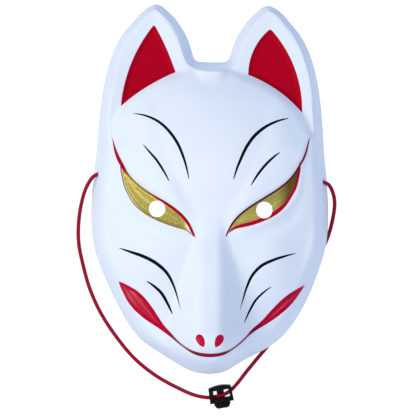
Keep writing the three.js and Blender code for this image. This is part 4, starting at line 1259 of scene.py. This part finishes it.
class FacePaint(Finish):
    """White paint with the marks of the face. A mark's method gives where it lies and the paint with it."""

    def __init__(self, colours):
        super().__init__("painted_shell")
        self.colours = colours
        self.at = self.place()
        side = self.split(self.at)[0] / MM
        self.distance = side.size()
        self.right = side.step(-1, 1)
        self.left = 1 - self.right
        self.wander = self.noise(self.at, PAINT_GRAIN["wander"]) - 0.5

    def wandering(self, mark, inside):
        """How far inside a mark a point lies, with the small errors of a hand."""
        return inside + self.wander * PAINT_EDGE[mark]["wander"]

    def filled(self, mark, inside):
        return self.wandering(mark, inside).step(*PAINT_EDGE[mark]["span"])

    def white(self):
        mottle = self.noise(self.at, PAINT_GRAIN["mottle"]).step(*WHITE_MOTTLE["span"])
        return self.blend(mottle, self.colours.white, toned(self.colours.white, WHITE_MOTTLE["tone"]))

    def ears(self, paint):
        tip = self.measure("ear_outer").math("SMOOTH_MIN", self.measure("ear_inner"), EAR_TIP_PAINT)
        mask = self.filled("ear", tip.least(self.measure("ear_foot")))
        return mask, self.blend(mask, paint, self.colours.ear_red)

    def eyes(self, paint, speckle):
        """Speckled gold, with a painted highlight at the left eye's inner end and along its lower lip,
        painted shade that darkens it towards the right one's outer corner, and dark red at that corner.
        """
        across = self.measure("lower_line_offset")
        mask = self.filled("gold", self.measure("eye_top").least(across)) * self.measure("gold_extent")
        change = {name: self.distance.step(*span) for name, span in GOLD_CHANGE.items()}
        lip = (1 - across.step(*LIP_HIGHLIGHT_SPAN)) * change["highlit_lip"]
        gold = self.blend(speckle.step(*GOLD_SPECKLE), self.colours.gold_dark, self.colours.gold)
        # Painted shade: the right eye's gold darkens towards its outer corner, which turns away from the
        # light
        gold = self.blend(self.right * change["shaded_olive"], gold, self.colours.shaded_olive)
        gold = self.blend(self.right * change["dark_red"], gold, self.colours.dark_red)
        # Painted highlight: pale gold at the left eye's inner end and along the outer part of its lower lip
        gold = self.blend(self.left * (1 - change["highlit_end"]), gold, self.colours.gold_highlight)
        gold = self.blend(self.left * lip, gold, self.colours.gold_highlight)
        return mask, self.blend(mask, paint, gold)

    def lids(self, paint):
        """The lines of the lids. The left eye's upper one turns brown along its middle."""
        colours = self.colours
        change = {name: self.distance.step(*span) for name, span in LINE_CHANGE.items()}
        upper = self.filled("line", self.inside_line("upper_line")) * change["start"]
        lower = self.filled("line", self.inside_line("lower_line")) * self.measure("lower_line_extent")
        brown_middle = change["brown_middle"] * (1 - change["red_again"])
        upper_colour = self.blend(self.right, colours.line_red, colours.dark_red)
        upper_colour = self.blend(self.right * change["tail"], upper_colour, colours.tail_red)
        upper_colour = self.blend(self.left * brown_middle, upper_colour, colours.brown)
        paint = self.blend(lower, paint, self.blend(self.right, colours.brown, colours.lower_red))
        return upper.most(lower), self.blend(upper, paint, upper_colour)

    def mouth(self, paint):
        """Thin and soft across the snout, where its darker red is partly its own colour and partly painted
        shade of its groove, and glossy inside the corners. Gives how glossy it is as well.
        """
        outer = self.distance.step(*MOUTH_OUTER)
        width = self.measure("mouth_half_width")
        drawn = width.most((1 - outer) * MOUTH_THIN["least"])
        inside = drawn - self.measure("mouth_offset").size()
        thin = 1 - drawn.step(*MOUTH_THIN["span"])
        low, high = PAINT_EDGE["line"]["span"]
        mask = self.wandering("line", inside) + thin * MOUTH_THIN["wider"]
        mask = mask.step(low, thin * MOUTH_THIN["softer"] + high)
        mask = mask * (1 - self.measure("mouth_past").step(*MOUTH_END))
        red = self.blend(inside.step(*MOUTH_DEPTH["red"]), self.colours.lower_red, self.colours.mouth_red)
        # The thin line's darker red is partly its own colour and partly painted shade of the groove it lies
        # in
        red = self.blend(width.step(*MOUTH_BROAD).most(outer), self.colours.snout_red_with_groove_shade, red)
        return mask, self.blend(mask, paint, red), inside.step(*MOUTH_DEPTH["coat"]) * mask

    def nostrils(self, paint):
        mask = 1 - self.measure("nostril_reach").step(*NOSTRIL_PAINT["edge"])
        mask = mask * (1 - self.distance.step(*NOSTRIL_PAINT["end"]))
        return mask, self.blend(mask, paint, self.colours.mouth_red)

    def strokes(self, paint):
        """Black brush strokes, a little dry at their rims."""
        inside = self.wandering("ink", self.inside_line("stroke"))
        dry = self.noise(self.at, PAINT_GRAIN["dry"]).step(*DRY_BRUSH["share"])
        bare = DRY_BRUSH["bare"] * dry * inside.step(*DRY_BRUSH["rim"])
        mask = inside.step(*PAINT_EDGE["ink"]["span"]) * (1 - bare)
        return mask, self.blend(mask, paint, self.colours.black)

    def painted(self):
        """The material, with all its marks laid on in turn."""
        speckle = self.noise(self.at, PAINT_GRAIN["speckle"], roughness=0.6)
        grain = self.noise(self.at, PAINT_GRAIN["grain"])
        ears, paint = self.ears(self.white())
        gold, paint = self.eyes(paint, speckle)
        lids, paint = self.lids(paint)
        mouth, paint, coat = self.mouth(paint)
        nostrils, paint = self.nostrils(paint)
        strokes, paint = self.strokes(paint)
        marks = ears.most(lids).most(mouth).most(nostrils).most(gold).most(strokes)
        roughness, relief = PAINT_ROUGHNESS, PAINT_RELIEF
        rough = roughness["base"] + grain * roughness["grain"] - mouth * roughness["mouth"]
        height = grain * relief["grain"] + marks * relief["paint"] + gold * speckle * relief["speckle"]
        return self.surface(
            Base_Color=paint,
            Roughness=rough - nostrils * roughness["nostril"],
            Metallic=gold * (1 - lids) * GOLD_METAL,
            Coat_Weight=coat * PAINT_COAT["mouth"] + nostrils * PAINT_COAT["nostril"],
            Coat_Roughness=0.15,
            Specular_IOR_Level=0.03,
            Normal=self.bumps(height, relief["height"]),
        )


def bare_finish():
    """Bare moulded white plastic inside the mask, with the faint texture of its forming."""
    finish = Finish("bare_shell")
    place = finish.place()
    mottle = finish.noise(place, BARE_PLASTIC["mottle"], 3.0)
    grain = finish.noise(place, BARE_PLASTIC["grain"])
    return finish.surface(
        Base_Color=finish.blend(mottle.step(*BARE_PLASTIC["span"]), *BARE_COLOURS),
        Roughness=0.5 + grain * 0.15,
        Normal=finish.bumps(grain + mottle * BARE_PLASTIC["relief"], BARE_PLASTIC["height"]),
    )


def cord_finish(colours, length):
    """Braided elastic: yarns that cross round the cord, painted lighter along each yarn and darker in the
    gaps between them as painted light and shade, with a sheen along each from its roughness.
    """
    finish = Finish("braided_elastic")
    uv = finish.node("ShaderNodeTexCoord", {}, {}, "UV")
    around, along, _ = finish.split(uv)
    turns = along * (length / BRAID["pitch"])
    yarns = CORD_YARN["per_strand"] * BRAID["strands"]
    right, left = (((around + sign * turns) * (yarns * math.pi)).math("SINE").size() for sign in (1, -1))
    cover = (around * BRAID["strands"] * 2 * math.pi).math("SINE") * 0.5 + 0.5
    cover = cover.step(*CORD_YARN["cover"])
    yarn = right * cover + left * (1 - cover)
    fuzz = finish.noise(finish.place(), CORD_FUZZ["grain"])
    lit = (yarn * CORD_YARN["share"] + fuzz * CORD_FUZZ["share"]).step(*CORD_YARN["span"])
    return finish.surface(
        # Painted light and shade of the braid: lit yarns over darker gaps
        Base_Color=finish.blend(lit, colours.cord_gap_shade, colours.cord_red),
        Roughness=0.45 - yarn * 0.1,
        Specular_IOR_Level=0.12,
        Normal=finish.bumps(yarn + fuzz * CORD_FUZZ["relief"], CORD_YARN["height"]),
    )


def lock_finish(colours, part):
    """Moulded black plastic with a fine grain and lighter rubbed patches here and there."""
    finish = Finish(f"lock_{part}_plastic")
    place = finish.place()
    grain = finish.noise(place, LOCK_PLASTIC["grain"])
    rubbed = finish.noise(place, LOCK_PLASTIC["rubbed"], 3.0).step(*LOCK_PLASTIC["span"])
    return finish.surface(
        Base_Color=finish.blend(rubbed, colours.lock_black, toned(colours.lock_black, LOCK_PLASTIC["tone"])),
        Roughness=LOCK_ROUGHNESS[part] + grain * 0.12,
        Specular_IOR_Level=0.15,
        Normal=finish.bumps(grain, LOCK_PLASTIC["height"]),
    )


def white_floor():
    finish = Finish("white_floor")
    tint = finish.noise(finish.place(), FLOOR["grain"], 1.0)
    return finish.surface(
        Base_Color=finish.blend(tint, *FLOOR["colours"]),
        Roughness=0.9,
        Specular_IOR_Level=0.0,
        Emission_Color=(1, 1, 1, 1),
        Emission_Strength=1.0,
    )


# The add-on's sizes and colours

def length_property(name, description, default):
    return FloatProperty(
        name=name, description=description, default=default, min=0.0, unit="LENGTH", precision=5
    )


def colour_property(name, description, display):
    return FloatVectorProperty(
        name=name, description=description, default=linear(*display), subtype="COLOR", min=0.0, max=1.0
    )


class FoxMaskSizes(bpy.types.PropertyGroup):
    """Sizes that can be changed without redrawing the face."""

    wall: length_property("Wall", "Thickness of the moulded shell", 1.5 * MM)
    eye_hole_radius: length_property("Eye hole radius", "Radius of each hole in the eyes", 5.4 * MM)
    cord_hole_radius: length_property("Cord hole radius", "Radius of the two holes for the cord", 2.1 * MM)
    cord_diameter: length_property("Cord diameter", "Thickness of the elastic cord", 2.7 * MM)


class FoxMaskColours(bpy.types.PropertyGroup):
    """Colours of the paint, the cord and the lock."""

    white: colour_property("White", "Main colour of the face", (234, 240, 248))
    ear_red: colour_property("Ear red", "Panels of the ears", (178, 0, 37))
    line_red: colour_property("Line red", "Upper line of the left eye", (172, 8, 44))
    lower_red: colour_property("Bright red", "Right eye's lower line and the mouth's edge", (190, 4, 58))
    tail_red: colour_property("Tail red", "Outer end of the right eye's upper line", (148, 14, 62))
    dark_red: colour_property("Dark red", "Upper line of the right eye", (112, 16, 44))
    brown: colour_property("Brown", "Thin brown lines of the left eye", (145, 84, 50))
    mouth_red: colour_property("Mouth red", "Glossy red of the mouth and nostrils", (192, 0, 54))
    # Partly its own colour, partly painted shade of the groove of the thin line across the snout
    snout_red_with_groove_shade: colour_property("Snout red", "Thin line of the mouth across the snout", (134, 0, 54))
    gold: colour_property("Gold", "Light parts of the eyes' gold", (202, 188, 104))
    gold_dark: colour_property("Dark gold", "Deep parts of the eyes' gold", (168, 152, 76))
    # Painted highlight: pale gold on the left eye's lower lip and at its inner end
    gold_highlight: colour_property("Pale gold", "Painted highlight on the left eye's lower edge and inner end", (244, 232, 172))
    # Painted shade: darker gold towards the right eye's outer corner
    shaded_olive: colour_property("Olive", "Dark gold of the right eye's outer corner", (112, 92, 44))
    black: colour_property("Black", "Brush strokes", (10, 20, 32))
    cord_red: colour_property("Cord red", "Lit threads of the cord", (180, 12, 54))
    # Painted shade in the gaps between the cord's threads
    cord_gap_shade: colour_property("Cord shade", "Gaps between the cord's threads", (105, 0, 30))
    lock_black: colour_property("Lock black", "Plastic of the cord lock", (14, 14, 17))


def sizes_and_colours(context):
    return context.scene.fox_mask_sizes, context.scene.fox_mask_colours


# Operators

class FOXMASK_OT_shell(bpy.types.Operator):
    """Moulds and paints the shell of the mask"""

    bl_idname = "fox_mask.shell"
    bl_label = "Shell"

    def execute(self, context):
        sizes, colours = sizes_and_colours(context)
        shell = model_shell(sizes)
        shell.data.materials.append(FacePaint(colours).painted())
        shell.data.materials.append(bare_finish())
        normals = np.zeros(len(shell.data.polygons) * 3, np.float32)
        shell.data.polygons.foreach_get("normal", normals)
        inside = (normals.reshape(-1, 3)[:, 2] < INSIDE_FACING).astype(np.int32)
        shell.data.polygons.foreach_set("material_index", inside)
        finish_piece(shell, SHARP_ANGLE["shell"], "painted_shell", MASK_BODY, "mask_shell")
        return {"FINISHED"}


class FOXMASK_OT_lock(bpy.types.Operator):
    """Models the cord lock's frame and its spring button"""

    bl_idname = "fox_mask.lock"
    bl_label = "Cord lock"

    def execute(self, context):
        _, colours = sizes_and_colours(context)
        lock = model_lock_frame()
        lock.data.materials.append(lock_finish(colours, "frame"))
        finish_piece(lock, SHARP_ANGLE["lock"], "lock_black", MASK_BODY, "cord_lock_housing")
        button = model_button()
        button.data.materials.append(lock_finish(colours, "button"))
        finish_piece(button, SHARP_ANGLE["lock"], "lock_black", BUTTON_BODY, "cord_lock_plunger")
        return {"FINISHED"}


class FOXMASK_OT_cord(bpy.types.Operator):
    """Lays the elastic cord along its route, with a knot inside each hole"""

    bl_idname = "fox_mask.cord"
    bl_label = "Head cord"

    def execute(self, context):
        sizes, colours = sizes_and_colours(context)
        diameter = sizes.cord_diameter / MM
        cord, path, length = model_cord(diameter)
        finish = cord_finish(colours, length)
        cord.data.materials.append(finish)
        finish_piece(cord, SHARP_ANGLE["cord"], "elastic_red", MASK_BODY, "elastic_cord")
        for name, end, outward in (("left_knot", CORD_ROUTE[0], -1), ("right_knot", CORD_ROUTE[-1], 1)):
            knot = model_knot(name, end, outward, diameter)
            knot.data.materials.append(finish)
            finish_piece(knot, SHARP_ANGLE["cord"], "elastic_red", MASK_BODY)
        return {"FINISHED"}


class FOXMASK_OT_stage(bpy.types.Operator):
    """Sets the white floor, the lights and the camera above the mask"""

    bl_idname = "fox_mask.stage"
    bl_label = "Stage"

    def execute(self, context):
        place = (0, 0, FLOOR["height"])
        floor = added("floor", bpy.ops.mesh.primitive_plane_add, size=FLOOR["size"], location=place)
        floor.data.materials.append(white_floor())
        floor.visible_diffuse = False
        floor.visible_shadow = False

        world = bpy.data.worlds.new("studio")
        world.use_nodes = True
        background = world.node_tree.nodes["Background"]
        background.inputs["Color"].default_value = (*WORLD["colour"], 1)
        background.inputs["Strength"].default_value = WORLD["strength"]
        context.scene.world = world

        for name, light in LIGHTS.items():
            lamp = added(name, bpy.ops.object.light_add, type="AREA", location=light["at"])
            lamp.data.size = light["size"]
            lamp.data.energy = light["power"]
            lamp.data.color = light["colour"]
            lamp.rotation_mode = "QUATERNION"
            aim = Vector(LIGHT_AIM) - Vector(light["at"])
            lamp.rotation_quaternion = aim.to_track_quat("-Z", "Y")

        roll = math.radians(CAMERA_ROLL)
        lean = math.atan(CAMERA_ASIDE / CAMERA_HEIGHT)
        aside = Matrix.Rotation(roll, 3, "Z") @ Vector((CAMERA_ASIDE, 0, 0))
        place = Vector((*FRAME_CENTRE, CAMERA_HEIGHT)) - aside
        turn = (0, -lean, roll)
        camera = added("camera", bpy.ops.object.camera_add, location=place * MM, rotation=turn)
        camera.data.sensor_width = SENSOR
        camera.data.lens = SENSOR * CAMERA_HEIGHT / FRAME_WIDTH
        camera.data.clip_start, camera.data.clip_end = CLIP
        context.scene.camera = camera
        context.scene.view_settings.view_transform = "Standard"
        return {"FINISHED"}


class FOXMASK_PT_panel(bpy.types.Panel):
    """Lists the mask's sizes, colours and operators in the 3D view's sidebar"""

    bl_label = "Fox Mask"
    bl_idname = "FOXMASK_PT_panel"
    bl_space_type = "VIEW_3D"
    bl_region_type = "UI"
    bl_category = "Fox Mask"

    def draw(self, context):
        for group in sizes_and_colours(context):
            box = self.layout.box()
            for name in group.__annotations__:
                box.prop(group, name)
        for operator in OPERATORS:
            self.layout.operator(operator.bl_idname)


OPERATORS = (FOXMASK_OT_shell, FOXMASK_OT_lock, FOXMASK_OT_cord, FOXMASK_OT_stage)
CLASSES = (FoxMaskSizes, FoxMaskColours, *OPERATORS, FOXMASK_PT_panel)


def register():
    for cls in CLASSES:
        bpy.utils.register_class(cls)
    bpy.types.Scene.fox_mask_sizes = PointerProperty(type=FoxMaskSizes)
    bpy.types.Scene.fox_mask_colours = PointerProperty(type=FoxMaskColours)


def unregister():
    del bpy.types.Scene.fox_mask_colours
    del bpy.types.Scene.fox_mask_sizes
    for cls in reversed(CLASSES):
        bpy.utils.unregister_class(cls)


def main():
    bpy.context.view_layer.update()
    register()
    bpy.ops.fox_mask.shell()
    bpy.ops.fox_mask.lock()
    bpy.ops.fox_mask.cord()
    bpy.ops.fox_mask.stage()


if __name__ == "__main__":
    main()
